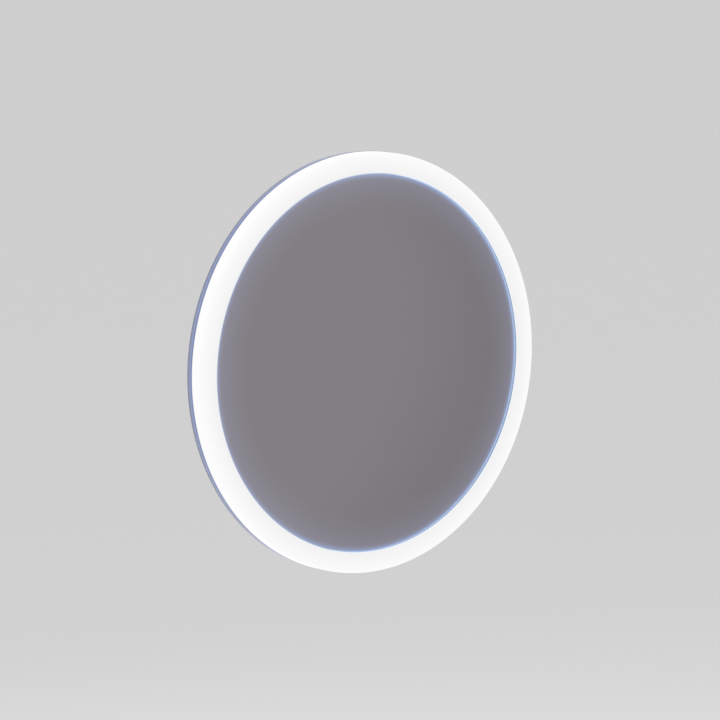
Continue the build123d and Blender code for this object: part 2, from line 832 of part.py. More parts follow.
# Mains terminal block with a bore for each pole, screw wells from behind and two fixing wells
terminal_back = chassis_back - terminal_height
terminal_length = pole_spacing * pole_count + terminal_end_wall
pole_places = [(terminal_x + pole_spacing * (pole - (pole_count - 1) / 2)) for pole in range(pole_count)]
pole_screw_places = [
    (pole_x, terminal_z + side_sign * terminal_screw_spacing / 2)
    for pole_x in pole_places
    for side_sign in (-1, 1)
]
with BuildPart() as terminal_block:
    with BuildSketch(facing(terminal_back, terminal_x, terminal_z)):
        RectangleRounded(terminal_length, terminal_depth, terminal_corner_radius)
    extrude(amount=terminal_height)
    for pole_x in pole_places:
        pole_plane = Plane(
            origin=place(pole_x, wire_depth, terminal_z - terminal_depth / 2),
            x_dir=(1, 0, 0),
            z_dir=(0, 0, 1),
        )
        with BuildSketch(pole_plane):
            Circle(cage_radius + cage_gap)
        extrude(amount=terminal_depth, mode=Mode.SUBTRACT)
    with BuildSketch(facing(terminal_back)):
        with Locations(*pole_screw_places):
            Circle(terminal_screw_radius + terminal_well_gap)
    extrude(amount=terminal_height - wire_axis_height, mode=Mode.SUBTRACT)
    with BuildSketch(facing(terminal_back)):
        with Locations(*terminal_fixings):
            Circle(terminal_fixing_radius + screw_gap)
    extrude(amount=terminal_height, mode=Mode.SUBTRACT)
    with BuildSketch(facing(terminal_back)):
        with Locations(*terminal_fixings):
            Circle(terminal_fixing_head_radius + screw_gap)
    extrude(amount=terminal_fixing_head_height + terminal_screw_room_depth, mode=Mode.SUBTRACT)
terminal_block.part.label = "terminal_block"

# Brass sleeves that take the wires
with BuildPart() as terminal_cages:
    for pole_x in pole_places:
        pole_plane = Plane(
            origin=place(pole_x, wire_depth, terminal_z - terminal_depth / 2 + cage_gap),
            x_dir=(1, 0, 0),
            z_dir=(0, 0, 1),
        )
        with BuildSketch(pole_plane):
            Circle(cage_radius)
            Circle(cage_bore_radius, mode=Mode.SUBTRACT)
        extrude(amount=terminal_depth - 2 * cage_gap)
    with BuildSketch(facing(wire_depth - cage_radius)):
        with Locations(*pole_screw_places):
            Circle(terminal_screw_radius + screw_gap)
    extrude(amount=cage_radius, mode=Mode.SUBTRACT)
terminal_cages.part.label = "terminal_cages"

# Clamping screws in the sleeves
clamp_screw_back = terminal_back + terminal_screw_room_depth
with BuildPart() as terminal_screws:
    with BuildSketch(facing(clamp_screw_back)):
        with Locations(*pole_screw_places):
            Circle(terminal_screw_radius)
    extrude(amount=wire_depth - terminal_screw_reach - clamp_screw_back)
    with BuildSketch(facing(clamp_screw_back)):
        with Locations(*pole_screw_places):
            Rectangle(terminal_screw_radius * 2, terminal_slot_width)
    extrude(amount=terminal_slot_depth, mode=Mode.SUBTRACT)
terminal_screws.part.label = "terminal_screws"

# Screws that hold the block to the chassis
block_head_depth = terminal_back + terminal_fixing_head_height + terminal_screw_room_depth
block_screws = screws(
    terminal_fixings,
    block_head_depth,
    terminal_fixing_head_radius,
    terminal_fixing_head_height,
    terminal_fixing_radius,
    chassis_front - block_head_depth,
)
block_screws.label = "block_screws"

# Rubber grommet in the cover where the supply cable comes in
grommet_back = cover_back - grommet_flange_thickness
grommet_length = cover_thickness + 2 * grommet_flange_thickness
with BuildPart() as cable_grommet:
    with BuildSketch(facing(grommet_back, grommet_x, grommet_z)):
        Circle(grommet_flange_radius)
    extrude(amount=grommet_flange_thickness)
    with BuildSketch(facing(cover_back, grommet_x, grommet_z)):
        Circle(grommet_neck_radius)
    extrude(amount=cover_thickness)
    with BuildSketch(facing(cover_front, grommet_x, grommet_z)):
        Circle(grommet_flange_radius)
    extrude(amount=grommet_flange_thickness)
    flange_edges = cable_grommet.edges().filter_by(GeomType.CIRCLE).group_by(Axis.Y)
    fillet(flange_edges[0] + flange_edges[-1], grommet_edge_radius)
    with BuildSketch(facing(grommet_back, grommet_x, grommet_z)):
        Circle(grommet_bore_radius)
    extrude(amount=grommet_length, mode=Mode.SUBTRACT)
cable_grommet.part.label = "cable_grommet"

# Cord clamp: a bridge over the cable's channel, screwed to the chassis
clamp_back = chassis_back - clamp_height
with BuildPart() as cord_clamp:
    with BuildSketch(facing(clamp_back, clamp_x, grommet_z)):
        RectangleRounded(clamp_width, clamp_length, clamp_corner_radius)
    extrude(amount=clamp_height)
    channel_plane = Plane(
        origin=place(clamp_x - clamp_width, chassis_back, grommet_z), x_dir=(0, 1, 0), z_dir=(1, 0, 0)
    )
    with BuildSketch(channel_plane):
        Circle(clamp_channel_radius)
    extrude(amount=2 * clamp_width, mode=Mode.SUBTRACT)
    with BuildSketch(facing(clamp_back)):
        with Locations(*clamp_fixings):
            Circle(terminal_fixing_radius + screw_gap)
    extrude(amount=clamp_height, mode=Mode.SUBTRACT)
cord_clamp.part.label = "cord_clamp"

clamp_screws = screws(
    clamp_fixings,
    clamp_back,
    switch_screw_head_radius,
    switch_screw_head_height,
    terminal_fixing_radius,
    clamp_height + chassis_thickness,
)
clamp_screws.label = "clamp_screws"

# Earth stud pressed into the chassis, its shoulder at the height of the wires
tag_front = wire_depth + earth_tag_thickness
with BuildPart() as earth_stud:
    with BuildSketch(facing(tag_front, earth_x, earth_z)):
        RegularPolygon(earth_shoulder_radius, 6)
    extrude(amount=chassis_back - tag_front)
    with BuildSketch(facing(chassis_front - earth_stud_length, earth_x, earth_z)):
        Circle(earth_stud_radius)
    extrude(amount=earth_stud_length)
earth_stud.part.label = "earth_stud"

# Ring tag that the earth lead is crimped to
earth_neck_end = earth_tag_radius + earth_neck_length
barrel_start = earth_neck_end - earth_barrel_lap
with BuildPart() as earth_tag:
    with BuildSketch(facing(wire_depth, earth_x, earth_z)):
        Circle(earth_tag_radius)
        with Locations((earth_neck_end / 2, 0)):
            Rectangle(earth_neck_end, earth_barrel_radius * 2)
        Circle(earth_stud_radius + earth_gap, mode=Mode.SUBTRACT)
    extrude(amount=earth_tag_thickness)
    barrel_plane = Plane(
        origin=place(earth_x + barrel_start, wire_depth, earth_z), x_dir=(0, 0, 1), z_dir=(1, 0, 0)
    )
    with BuildSketch(barrel_plane):
        Circle(earth_barrel_radius)
    extrude(amount=earth_barrel_length)
earth_tag.part.label = "earth_tag"

# Washer and nut over the tag
washer_back = wire_depth - earth_washer_thickness
with BuildPart() as earth_washer:
    with BuildSketch(facing(washer_back, earth_x, earth_z)):
        Circle(earth_washer_radius)
        with PolarLocations(earth_washer_radius, earth_washer_teeth):
            Circle(earth_tooth_radius, mode=Mode.SUBTRACT)
        Circle(earth_stud_radius + earth_gap, mode=Mode.SUBTRACT)
    extrude(amount=earth_washer_thickness)
earth_washer.part.label = "earth_washer"

with BuildPart() as earth_nut:
    with BuildSketch(facing(washer_back - earth_nut_height, earth_x, earth_z)):
        RegularPolygon(earth_nut_radius, 6)
        Circle(earth_stud_radius + earth_gap, mode=Mode.SUBTRACT)
    extrude(amount=earth_nut_height)
earth_nut.part.label = "earth_nut"

# Leads from the terminal block: live and neutral to the driver, earth to its tag
block_outlet = terminal_z - terminal_depth / 2 - lead_end_gap
driver_inlet = driver_x - driver_length / 2 - lead_end_gap
mains_leads = {}
for name, pole_x, row in (("neutral_lead", pole_places[-2], -0.5), ("live_lead", pole_places[-1], 0.5)):
    row_z = driver_z + row * mains_lead_pitch
    mains_leads[name] = lead(
        [
            place(pole_x, wire_depth, block_outlet),
            place(pole_x, wire_depth, row_z),
            place(driver_inlet, wire_depth, row_z),
        ],
        mains_bend_radius,
    )
    mains_leads[name].label = name
earth_inlet = earth_x + barrel_start + earth_barrel_length + lead_end_gap
earth_lead = lead(
    [
        place(pole_places[0], wire_depth, block_outlet),
        place(pole_places[0], wire_depth, earth_z),
        place(earth_inlet, wire_depth, earth_z),
    ],
    earth_bend_radius,
)
earth_lead.label = "earth_lead"

# Feed leads from the driver through the chassis rim to the tape
driver_outlet = driver_x + driver_length / 2 + lead_end_gap
feed_end_radius = chassis_radius - lead_end_gap
turn_radius = driver_z / feed_direction[1]
feed_leads = {}
for name, offset_across in zip(("feed_lead_minus", "feed_lead_plus"), feed_offsets):
    turn_x = turn_radius * feed_direction[0]
    end_x = feed_end_radius * feed_direction[0] + offset_across * feed_across[0]
    end_z = feed_end_radius * feed_direction[1] + offset_across * feed_across[1]
    feed_leads[name] = lead(
        [
            place(driver_outlet, wire_depth, driver_z + offset_across),
            place(turn_x, wire_depth, driver_z + offset_across),
            place(end_x, wire_depth, end_z),
        ],
        feed_bend_radius,
    )
    feed_leads[name].label = name

# Switch lead from the contacts, through the cover and up to the driver
switch_lead = lead(
    [
        place(0, switch_back + switch_wall + contact_thickness + lead_end_gap, switch_lead_z),
        place(0, wire_depth, switch_lead_z),
        place(0, wire_depth, driver_z - driver_width / 2 - lead_end_gap),
    ],
    switch_lead_bend_radius,
)
switch_lead.label = "switch_lead"

# Clips on the chassis that hold the leads
clip_height = wire_axis_height + lead_radius + clip_wall
with BuildPart() as lead_clips:
    switch_clip_z = (switch_lead_z + driver_z) / 2
    mains_clip_x = (pole_places[-1] + driver_inlet) / 2 + mains_bend_radius / 2
    feed_clip_x = driver_outlet + feed_clip_offset
    with BuildSketch(facing(chassis_back - clip_height)):
        with Locations((0, switch_clip_z)):
            Rectangle(clip_width, clip_length)
        with Locations((feed_clip_x, driver_z)):
            Rectangle(clip_length, clip_width + lead_pair_spacing)
        with Locations((mains_clip_x, driver_z + mains_lead_pitch / 2)):
            Rectangle(clip_length, clip_width)
        with Locations((mains_clip_x, driver_z - mains_lead_pitch / 2)):
            Rectangle(clip_length, clip_width)
    extrude(amount=clip_height)
    with BuildSketch(Plane(origin=place(0, wire_depth, switch_clip_z), z_dir=(0, 0, 1))):
        Circle(lead_radius + clip_gap)
    extrude(amount=clip_length, both=True, mode=Mode.SUBTRACT)
    clip_bores = [(feed_clip_x, driver_z + offset_across) for offset_across in feed_offsets]
    clip_bores += [(mains_clip_x, driver_z + row * mains_lead_pitch) for row in (-0.5, 0.5)]
    for bore_x, bore_z in clip_bores:
        with BuildSketch(Plane(origin=place(bore_x, wire_depth, bore_z), z_dir=(1, 0, 0))):
            Circle(lead_radius + clip_gap)
        extrude(amount=clip_length, both=True, mode=Mode.SUBTRACT)
lead_clips.part.label = "lead_clips"

# Each sub-part goes to its own file
pieces = [
    light_ring.part,
    clear_ring.part,
    mirror_glass.part,
    silver_backing.part,
    mounting_tape.part,
    chassis.part,
    reflector_film.part,
    led_tape.part,
    leds.part,
    back_cover.part,
    cover_gasket.part,
    cover_screws,
    wall_bracket.part,
    hanger_rail.part,
    rail_rivets.part,
    left_foot_pad,
    right_foot_pad,
    left_foot_stud,
    right_foot_stud,
    foot_nuts.part,
    switch_housing.part,
    switch_button.part,
    switch_spring.part,
    switch_contacts.part,
    switch_screws,
    driver_case.part,
    driver_lid.part,
    driver_board.part,
    driver_transformer.part,
    driver_capacitors.part,
    driver_screws,
    terminal_block.part,
    terminal_cages.part,
    terminal_screws.part,
    block_screws,
    cable_grommet.part,
    cord_clamp.part,
    clamp_screws,
    earth_stud.part,
    earth_tag.part,
    earth_washer.part,
    earth_nut.part,
    *mains_leads.values(),
    earth_lead,
    *feed_leads.values(),
    switch_lead,
    lead_clips.part,
]
os.makedirs("parts", exist_ok=True)
for piece in pieces:
    export_step(piece, f"parts/{piece.label}.step")
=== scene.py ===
import json
import math

import bmesh
import bpy
from mathutils import Matrix, Vector


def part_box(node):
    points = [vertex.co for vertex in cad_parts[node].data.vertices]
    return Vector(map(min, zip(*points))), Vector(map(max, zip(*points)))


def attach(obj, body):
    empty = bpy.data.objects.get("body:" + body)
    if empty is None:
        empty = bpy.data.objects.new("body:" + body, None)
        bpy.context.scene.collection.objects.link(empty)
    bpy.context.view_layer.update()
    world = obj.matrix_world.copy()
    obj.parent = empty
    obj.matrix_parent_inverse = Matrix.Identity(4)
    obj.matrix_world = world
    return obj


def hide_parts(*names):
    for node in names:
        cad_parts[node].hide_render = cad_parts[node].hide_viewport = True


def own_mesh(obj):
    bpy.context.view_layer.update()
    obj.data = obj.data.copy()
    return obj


# Round wall mirror with a lit acrylic ring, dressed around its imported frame.
# Metres, the wall at y = 0, the mirror facing -Y, +Z up.
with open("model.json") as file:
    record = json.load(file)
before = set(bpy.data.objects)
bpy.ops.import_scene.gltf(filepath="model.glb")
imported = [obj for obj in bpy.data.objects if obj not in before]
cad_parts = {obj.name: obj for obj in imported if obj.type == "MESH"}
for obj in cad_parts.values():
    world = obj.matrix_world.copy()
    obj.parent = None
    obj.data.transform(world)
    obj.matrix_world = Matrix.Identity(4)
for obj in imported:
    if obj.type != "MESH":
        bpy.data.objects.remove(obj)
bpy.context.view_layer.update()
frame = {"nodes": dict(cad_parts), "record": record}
nodes = frame["nodes"]


def nodeRadii(name):
    # Least and greatest distance of a node's points from the mirror's own axis
    radii = [math.hypot(v.co.x, v.co.z - mirrorZ) for v in nodes[name].data.vertices]
    return min(radii), max(radii)


ringLow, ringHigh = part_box("light_ring")
clearLow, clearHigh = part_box("clear_ring")
glassLow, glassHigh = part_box("mirror_glass")
chassisLow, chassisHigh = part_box("chassis")
mirrorZ = (ringLow.z + ringHigh.z) / 2
mirrorCentre = Vector((0, ringLow.y, mirrorZ))
ringRadius = nodeRadii("light_ring")[1]
bandInner = nodeRadii("light_ring")[0]
glassRadius = nodeRadii("mirror_glass")[1]
print("frame loaded, ring radius", round(ringRadius, 4), "centre height", round(mirrorZ, 4))

# Camera at the photograph's viewing angle, its place measured from the ring's front centre
cameraPlace = {
    "offset": (-3.6609, -4.656, 0.7517),
    "yaw": math.radians(38.024),
    "pitch": math.radians(-7.185),
    "focalPixels": 4210.0,
    "framePixels": 720.0,
    "sensor": 36.0,
}


def makeCamera():
    data = bpy.data.cameras.new("camera")
    data.sensor_width = cameraPlace["sensor"]
    data.lens = cameraPlace["focalPixels"] / cameraPlace["framePixels"] * cameraPlace["sensor"]
    camera = bpy.data.objects.new("camera", data)
    camera.location = mirrorCentre + Vector(cameraPlace["offset"])
    camera.rotation_euler = (math.pi / 2 + cameraPlace["pitch"], 0, -cameraPlace["yaw"])
    bpy.context.scene.collection.objects.link(camera)
    bpy.context.scene.camera = camera


makeCamera()


# Meshes
def meshObject(name, mesh):
    obj = bpy.data.objects.new(name, mesh)
    bpy.context.scene.collection.objects.link(obj)
    return obj


def finishMesh(bm, name, sharpAngle=math.radians(35)):
    # Joins doubles, points the faces outwards and shades smooth except at sharp edges
    bmesh.ops.remove_doubles(bm, verts=bm.verts, dist=1e-7)
    bmesh.ops.recalc_face_normals(bm, faces=bm.faces)
    mesh = bpy.data.meshes.new(name)
    bm.to_mesh(mesh)
    bm.free()
    mesh.shade_smooth()
    mesh.set_sharp_from_angle(angle=sharpAngle)
    return meshObject(name, mesh)


def lathe(name, profile, segments, closed=True, centre=(0, mirrorZ), sharpAngle=math.radians(35)):
    # Turns points of (radius, depth from the wall) about an axis along Y. A third value in a point
    # is a function that gives the change of radius at an angle and a depth, for grips and threads.
    bm = bmesh.new()
    rings = []
    for radius, depth, *wave in profile:
        if radius < 1e-6:
            rings.append([bm.verts.new((centre[0], -depth, centre[1]))])
            continue
        ring = []
        for step in range(segments):
            angle = 2 * math.pi * step / segments
            reach = radius + (wave[0](angle, depth) if wave else 0)
            ring.append(bm.verts.new((centre[0] + reach * math.cos(angle), -depth,
                                      centre[1] + reach * math.sin(angle))))
        rings.append(ring)
    pairs = list(zip(rings, rings[1:]))
    if closed:
        pairs.append((rings[-1], rings[0]))
    for first, second in pairs:
        for step in range(segments):
            after = (step + 1) % segments
            if len(first) == 1:
                bm.faces.new((first[0], second[step], second[after]))
            elif len(second) == 1:
                bm.faces.new((first[step], second[0], first[after]))
            else:
                bm.faces.new((first[step], second[step], second[after], first[after]))
    return finishMesh(bm, name, sharpAngle)


def arcPoints(centre, radius, start, end, steps):
    # Points of a rounded corner in a profile, angles in degrees
    points = []
    for step in range(steps + 1):
        angle = math.radians(start + (end - start) * step / steps)
        points.append((centre[0] + radius * math.cos(angle), centre[1] + radius * math.sin(angle)))
    return points


def bakeObject(name, obj):
    # Keeps what an object's modifiers give as a plain mesh
    depsgraph = bpy.context.evaluated_depsgraph_get()
    mesh = bpy.data.meshes.new_from_object(obj.evaluated_get(depsgraph), depsgraph=depsgraph)
    mesh.name = name
    bpy.data.objects.remove(obj)
    return meshObject(name, mesh)


def drill(radius, front, rear, segments, centre=(0, 0)):
    # A plain cylinder that stands a little out of the sheet that it cuts
    over = 0.001
    profile = [(0, rear - over), (radius, rear - over), (radius, front + over), (0, front + over)]
    return lathe("drill", profile, segments, closed=False, centre=centre)


def nodeCentre(node):
    low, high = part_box(node)
    return (low.x + high.x) / 2, (low.z + high.z) / 2


def joinMeshes(name, pieces, merge=1e-7):
    # One mesh from several, or a clean copy of a single one
    bm = bmesh.new()
    for piece in pieces:
        bm.from_mesh(piece.data)
        bpy.data.objects.remove(piece)
    bmesh.ops.remove_doubles(bm, verts=bm.verts, dist=merge)
    bmesh.ops.dissolve_degenerate(bm, edges=bm.edges, dist=merge)
    return finishMesh(bm, name)


def cutAway(name, obj, cutter):
    # Takes one closed mesh out of another
    modifier = obj.modifiers.new("cut", "BOOLEAN")
    modifier.operation = "DIFFERENCE"
    modifier.solver = "EXACT"
    modifier.object = cutter
    cut = bakeObject("cut", obj)
    bpy.data.objects.remove(cutter)
    return joinMeshes(name, [cut], 2e-6)


def dress(piece, node, body, finish):
    # A finished piece takes its finish, stands for its CAD node and rides on its body
    piece.data.materials.clear()
    piece.data.materials.append(materials[finish])
    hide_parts(node)
    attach(piece, body)


# Shader helpers
def addNode(tree, kind, **values):
    node = tree.nodes.new(kind)
    for key, value in values.items():
        setattr(node, key, value)
    return node


def fill(node, **values):
    # Sets input sockets by name, underscores standing for spaces
    for key, value in values.items():
        node.inputs[key.replace("_", " ")].default_value = value
    return node


def newGroup(name, inputs, outputs):
    tree = bpy.data.node_groups.new(name, "ShaderNodeTree")
    for label, kind, value in inputs:
        socket = tree.interface.new_socket(label, in_out="INPUT", socket_type="NodeSocket" + kind)
        if value is not None:
            socket.default_value = value
    for label, kind in outputs:
        tree.interface.new_socket(label, in_out="OUTPUT", socket_type="NodeSocket" + kind)
    return tree, tree.nodes.new("NodeGroupInput"), tree.nodes.new("NodeGroupOutput")


def mathNode(tree, operation, first, second=None, clamp=False):
    node = addNode(tree, "ShaderNodeMath", operation=operation, use_clamp=clamp)
    for socket, value in zip(node.inputs, (first, second)):
        if value is None:
            continue
        if isinstance(value, (int, float)):
            socket.default_value = value
        else:
            tree.links.new(value, socket)
    return node.outputs[0]


def mixColour(tree, factor, first, second, blend="MIX"):
    node = addNode(tree, "ShaderNodeMix", data_type="RGBA", blend_type=blend)
    for index, value in ((0, factor), (6, first), (7, second)):
        if isinstance(value, (int, float, tuple)):
            node.inputs[index].default_value = value
        else:
            tree.links.new(value, node.inputs[index])
    return node.outputs[2]


def moteGroup():
    # Fine mottle: a soft colour change, a roughness change and a height for the bump
    tree, inp, out = newGroup(
        "fineMottle",
        [("Vector", "Vector", None), ("Colour", "Color", (0.8, 0.8, 0.8, 1)), ("Shade", "Float", 0.9),
         ("Scale", "Float", 400.0), ("Cloud", "Float", 12.0), ("Roughness", "Float", 0.5),
         ("Spread", "Float", 0.1)],
        [("Colour", "Color"), ("Roughness", "Float"), ("Height", "Float")],
    )
    fine = fill(addNode(tree, "ShaderNodeTexNoise"), Detail=3.0)
    cloud = fill(addNode(tree, "ShaderNodeTexNoise"), Detail=2.0)
    for node, scale in ((fine, "Scale"), (cloud, "Cloud")):
        tree.links.new(inp.outputs["Vector"], node.inputs["Vector"])
        tree.links.new(inp.outputs[scale], node.inputs["Scale"])
    shaded = mixColour(tree, 1.0, inp.outputs["Colour"], (1, 1, 1, 1), "MULTIPLY")
    grey = addNode(tree, "ShaderNodeCombineColor")
    for socket in grey.inputs[:3]:
        tree.links.new(inp.outputs["Shade"], socket)
    tree.links.new(grey.outputs[0], shaded.node.inputs[7])
    both = mathNode(tree, "MULTIPLY", fine.outputs[0], cloud.outputs[0])
    mask = mathNode(tree, "MULTIPLY", both, 2.6, clamp=True)
    tree.links.new(mixColour(tree, mask, shaded, inp.outputs["Colour"]), out.inputs["Colour"])
    swing = mathNode(tree, "SUBTRACT", cloud.outputs[0], 0.5)
    swing = mathNode(tree, "MULTIPLY", swing, inp.outputs["Spread"])
    swing = mathNode(tree, "MULTIPLY", swing, 2.0)
    tree.links.new(mathNode(tree, "ADD", inp.outputs["Roughness"], swing, clamp=True), out.inputs["Roughness"])
    tree.links.new(fine.outputs[0], out.inputs["Height"])
    return tree


def rolledGroup():
    # Rolled or brushed metal: long fine lines along one direction, and large crystals of zinc
    tree, inp, out = newGroup(
        "rolledMetal",
        [("Vector", "Vector", None), ("Colour", "Color", (0.7, 0.7, 0.7, 1)), ("Stretch", "Vector", (1, 60, 60)),
         ("Scale", "Float", 30.0), ("Crystals", "Float", 120.0), ("Crystal Mix", "Float", 0.3),
         ("Roughness", "Float", 0.3), ("Spread", "Float", 0.1)],
        [("Colour", "Color"), ("Roughness", "Float"), ("Height", "Float")],
    )
    stretched = addNode(tree, "ShaderNodeVectorMath", operation="MULTIPLY")
    tree.links.new(inp.outputs["Vector"], stretched.inputs[0])
    tree.links.new(inp.outputs["Stretch"], stretched.inputs[1])
    lines = fill(addNode(tree, "ShaderNodeTexNoise"), Detail=4.0, Roughness=0.6)
    tree.links.new(stretched.outputs[0], lines.inputs["Vector"])
    tree.links.new(inp.outputs["Scale"], lines.inputs["Scale"])
    cells = addNode(tree, "ShaderNodeTexVoronoi")
    tree.links.new(inp.outputs["Vector"], cells.inputs["Vector"])
    tree.links.new(inp.outputs["Crystals"], cells.inputs["Scale"])
    tone = addNode(tree, "ShaderNodeSeparateColor")
    tree.links.new(cells.outputs["Color"], tone.inputs[0])
    cellTone = mathNode(tree, "MULTIPLY", tone.outputs[0], inp.outputs["Crystal Mix"])
    lineTone = mathNode(tree, "MULTIPLY", lines.outputs[0], 0.3)
    darker = mathNode(tree, "ADD", cellTone, lineTone, clamp=True)
    dark = mixColour(tree, 1.0, inp.outputs["Colour"], (0.55, 0.56, 0.58, 1), "MULTIPLY")
    tree.links.new(mixColour(tree, darker, inp.outputs["Colour"], dark), out.inputs["Colour"])
    swing = mathNode(tree, "MULTIPLY", mathNode(tree, "SUBTRACT", lines.outputs[0], 0.5), inp.outputs["Spread"])
    tree.links.new(mathNode(tree, "ADD", inp.outputs["Roughness"], swing, clamp=True), out.inputs["Roughness"])
    tree.links.new(lines.outputs[0], out.inputs["Height"])
    return tree


def radialGroup():
    # One at a circle about the mirror's axis and fading to nothing over a width inwards
    tree, inp, out = newGroup(
        "radialFade",
        [("Vector", "Vector", None), ("Centre Height", "Float", 0.0), ("Radius", "Float", 0.27),
         ("Width", "Float", 0.03), ("Power", "Float", 2.0)],
        [("Mask", "Float")],
    )
    parts = addNode(tree, "ShaderNodeSeparateXYZ")
    tree.links.new(inp.outputs["Vector"], parts.inputs[0])
    rise = mathNode(tree, "SUBTRACT", parts.outputs[2], inp.outputs["Centre Height"])
    squares = mathNode(tree, "ADD", mathNode(tree, "MULTIPLY", parts.outputs[0], parts.outputs[0]),
                       mathNode(tree, "MULTIPLY", rise, rise))
    radius = mathNode(tree, "SQRT", squares)
    inside = mathNode(tree, "SUBTRACT", inp.outputs["Radius"], radius)
    share = mathNode(tree, "DIVIDE", inside, inp.outputs["Width"])
    left = mathNode(tree, "SUBTRACT", 1.0, share, clamp=True)
    tree.links.new(mathNode(tree, "POWER", left, inp.outputs["Power"]), out.inputs["Mask"])
    return tree


def depthGroup():
    # Nothing at one depth, one at another, measured from the wall
    tree, inp, out = newGroup(
        "depthRamp",
        [("Vector", "Vector", None), ("From Depth", "Float", 0.0), ("To Depth", "Float", 0.01),
         ("Power", "Float", 1.0)],
        [("Mask", "Float")],
    )
    parts = addNode(tree, "ShaderNodeSeparateXYZ")
    tree.links.new(inp.outputs["Vector"], parts.inputs[0])
    depth = mathNode(tree, "MULTIPLY", parts.outputs[1], -1.0)
    gone = mathNode(tree, "SUBTRACT", depth, inp.outputs["From Depth"])
    span = mathNode(tree, "SUBTRACT", inp.outputs["To Depth"], inp.outputs["From Depth"])
    share = mathNode(tree, "DIVIDE", gone, span, clamp=True)
    tree.links.new(mathNode(tree, "POWER", share, inp.outputs["Power"]), out.inputs["Mask"])
    return tree


def geometryTree(name, inputs):
    tree = bpy.data.node_groups.new(name, "GeometryNodeTree")
    tree.is_modifier = True
    tree.interface.new_socket("Geometry", in_out="INPUT", socket_type="NodeSocketGeometry")
    for label, kind, value in inputs:
        socket = tree.interface.new_socket(label, in_out="INPUT", socket_type="NodeSocket" + kind)
        if value is not None:
            socket.default_value = value
    tree.interface.new_socket("Geometry", in_out="OUTPUT", socket_type="NodeSocketGeometry")
    return tree, tree.nodes.new("NodeGroupInput"), tree.nodes.new("NodeGroupOutput")


def placeCopies(tree, inp, out, place, rotation=None):
    # Ends a tree: the input mesh on each point, made real, with its material
    points = addNode(tree, "GeometryNodePoints")
    copies = addNode(tree, "GeometryNodeInstanceOnPoints")
    real = addNode(tree, "GeometryNodeRealizeInstances")
    finish = addNode(tree, "GeometryNodeSetMaterial")
    centred = addNode(tree, "ShaderNodeVectorMath", operation="ADD")
    tree.links.new(inp.outputs["Count"], points.inputs["Count"])
    tree.links.new(place, centred.inputs[0])
    tree.links.new(inp.outputs["Centre"], centred.inputs[1])
    tree.links.new(centred.outputs[0], points.inputs["Position"])
    tree.links.new(points.outputs[0], copies.inputs["Points"])
    tree.links.new(inp.outputs["Geometry"], copies.inputs["Instance"])
    if rotation:
        tree.links.new(rotation, copies.inputs["Rotation"])
    tree.links.new(copies.outputs[0], real.inputs[0])
    tree.links.new(real.outputs[0], finish.inputs["Geometry"])
    tree.links.new(inp.outputs["Material"], finish.inputs["Material"])
    tree.links.new(finish.outputs[0], out.inputs["Geometry"])


def circleTree():
    # Copies round a circle about an axis along Y, each turned so that its X points outwards
    tree, inp, out = geometryTree(
        "piecesRoundCircle",
        [("Count", "Int", 12), ("Radius", "Float", 0.28), ("Start Angle", "Float", 0.0),
         ("Centre", "Vector", (0, 0, 0)), ("Material", "Material", None)],
    )
    index = addNode(tree, "GeometryNodeInputIndex").outputs[0]
    step = mathNode(tree, "DIVIDE", 2 * math.pi, inp.outputs["Count"])
    angle = mathNode(tree, "ADD", mathNode(tree, "MULTIPLY", index, step), inp.outputs["Start Angle"])
    place = addNode(tree, "ShaderNodeCombineXYZ")
    for axis, wave in ((0, "COSINE"), (2, "SINE")):
        tree.links.new(mathNode(tree, "MULTIPLY", mathNode(tree, wave, angle), inp.outputs["Radius"]),
                       place.inputs[axis])
    turn = addNode(tree, "ShaderNodeCombineXYZ")
    tree.links.new(mathNode(tree, "MULTIPLY", angle, -1.0), turn.inputs[1])
    rotation = addNode(tree, "FunctionNodeEulerToRotation")
    tree.links.new(turn.outputs[0], rotation.inputs[0])
    placeCopies(tree, inp, out, place.outputs[0], rotation.outputs[0])
    return tree


def rowTree():
    # Copies in a row along X, the row's middle at the centre
    tree, inp, out = geometryTree(
        "piecesInRow",
        [("Count", "Int", 4), ("Spacing", "Float", 0.08), ("Centre", "Vector", (0, 0, 0)),
         ("Material", "Material", None)],
    )
    index = addNode(tree, "GeometryNodeInputIndex").outputs[0]
    middle = mathNode(tree, "DIVIDE", mathNode(tree, "SUBTRACT", inp.outputs["Count"], 1.0), 2.0)
    place = addNode(tree, "ShaderNodeCombineXYZ")
    tree.links.new(mathNode(tree, "MULTIPLY", mathNode(tree, "SUBTRACT", index, middle), inp.outputs["Spacing"]),
                   place.inputs[0])
    placeCopies(tree, inp, out, place.outputs[0])
    return tree


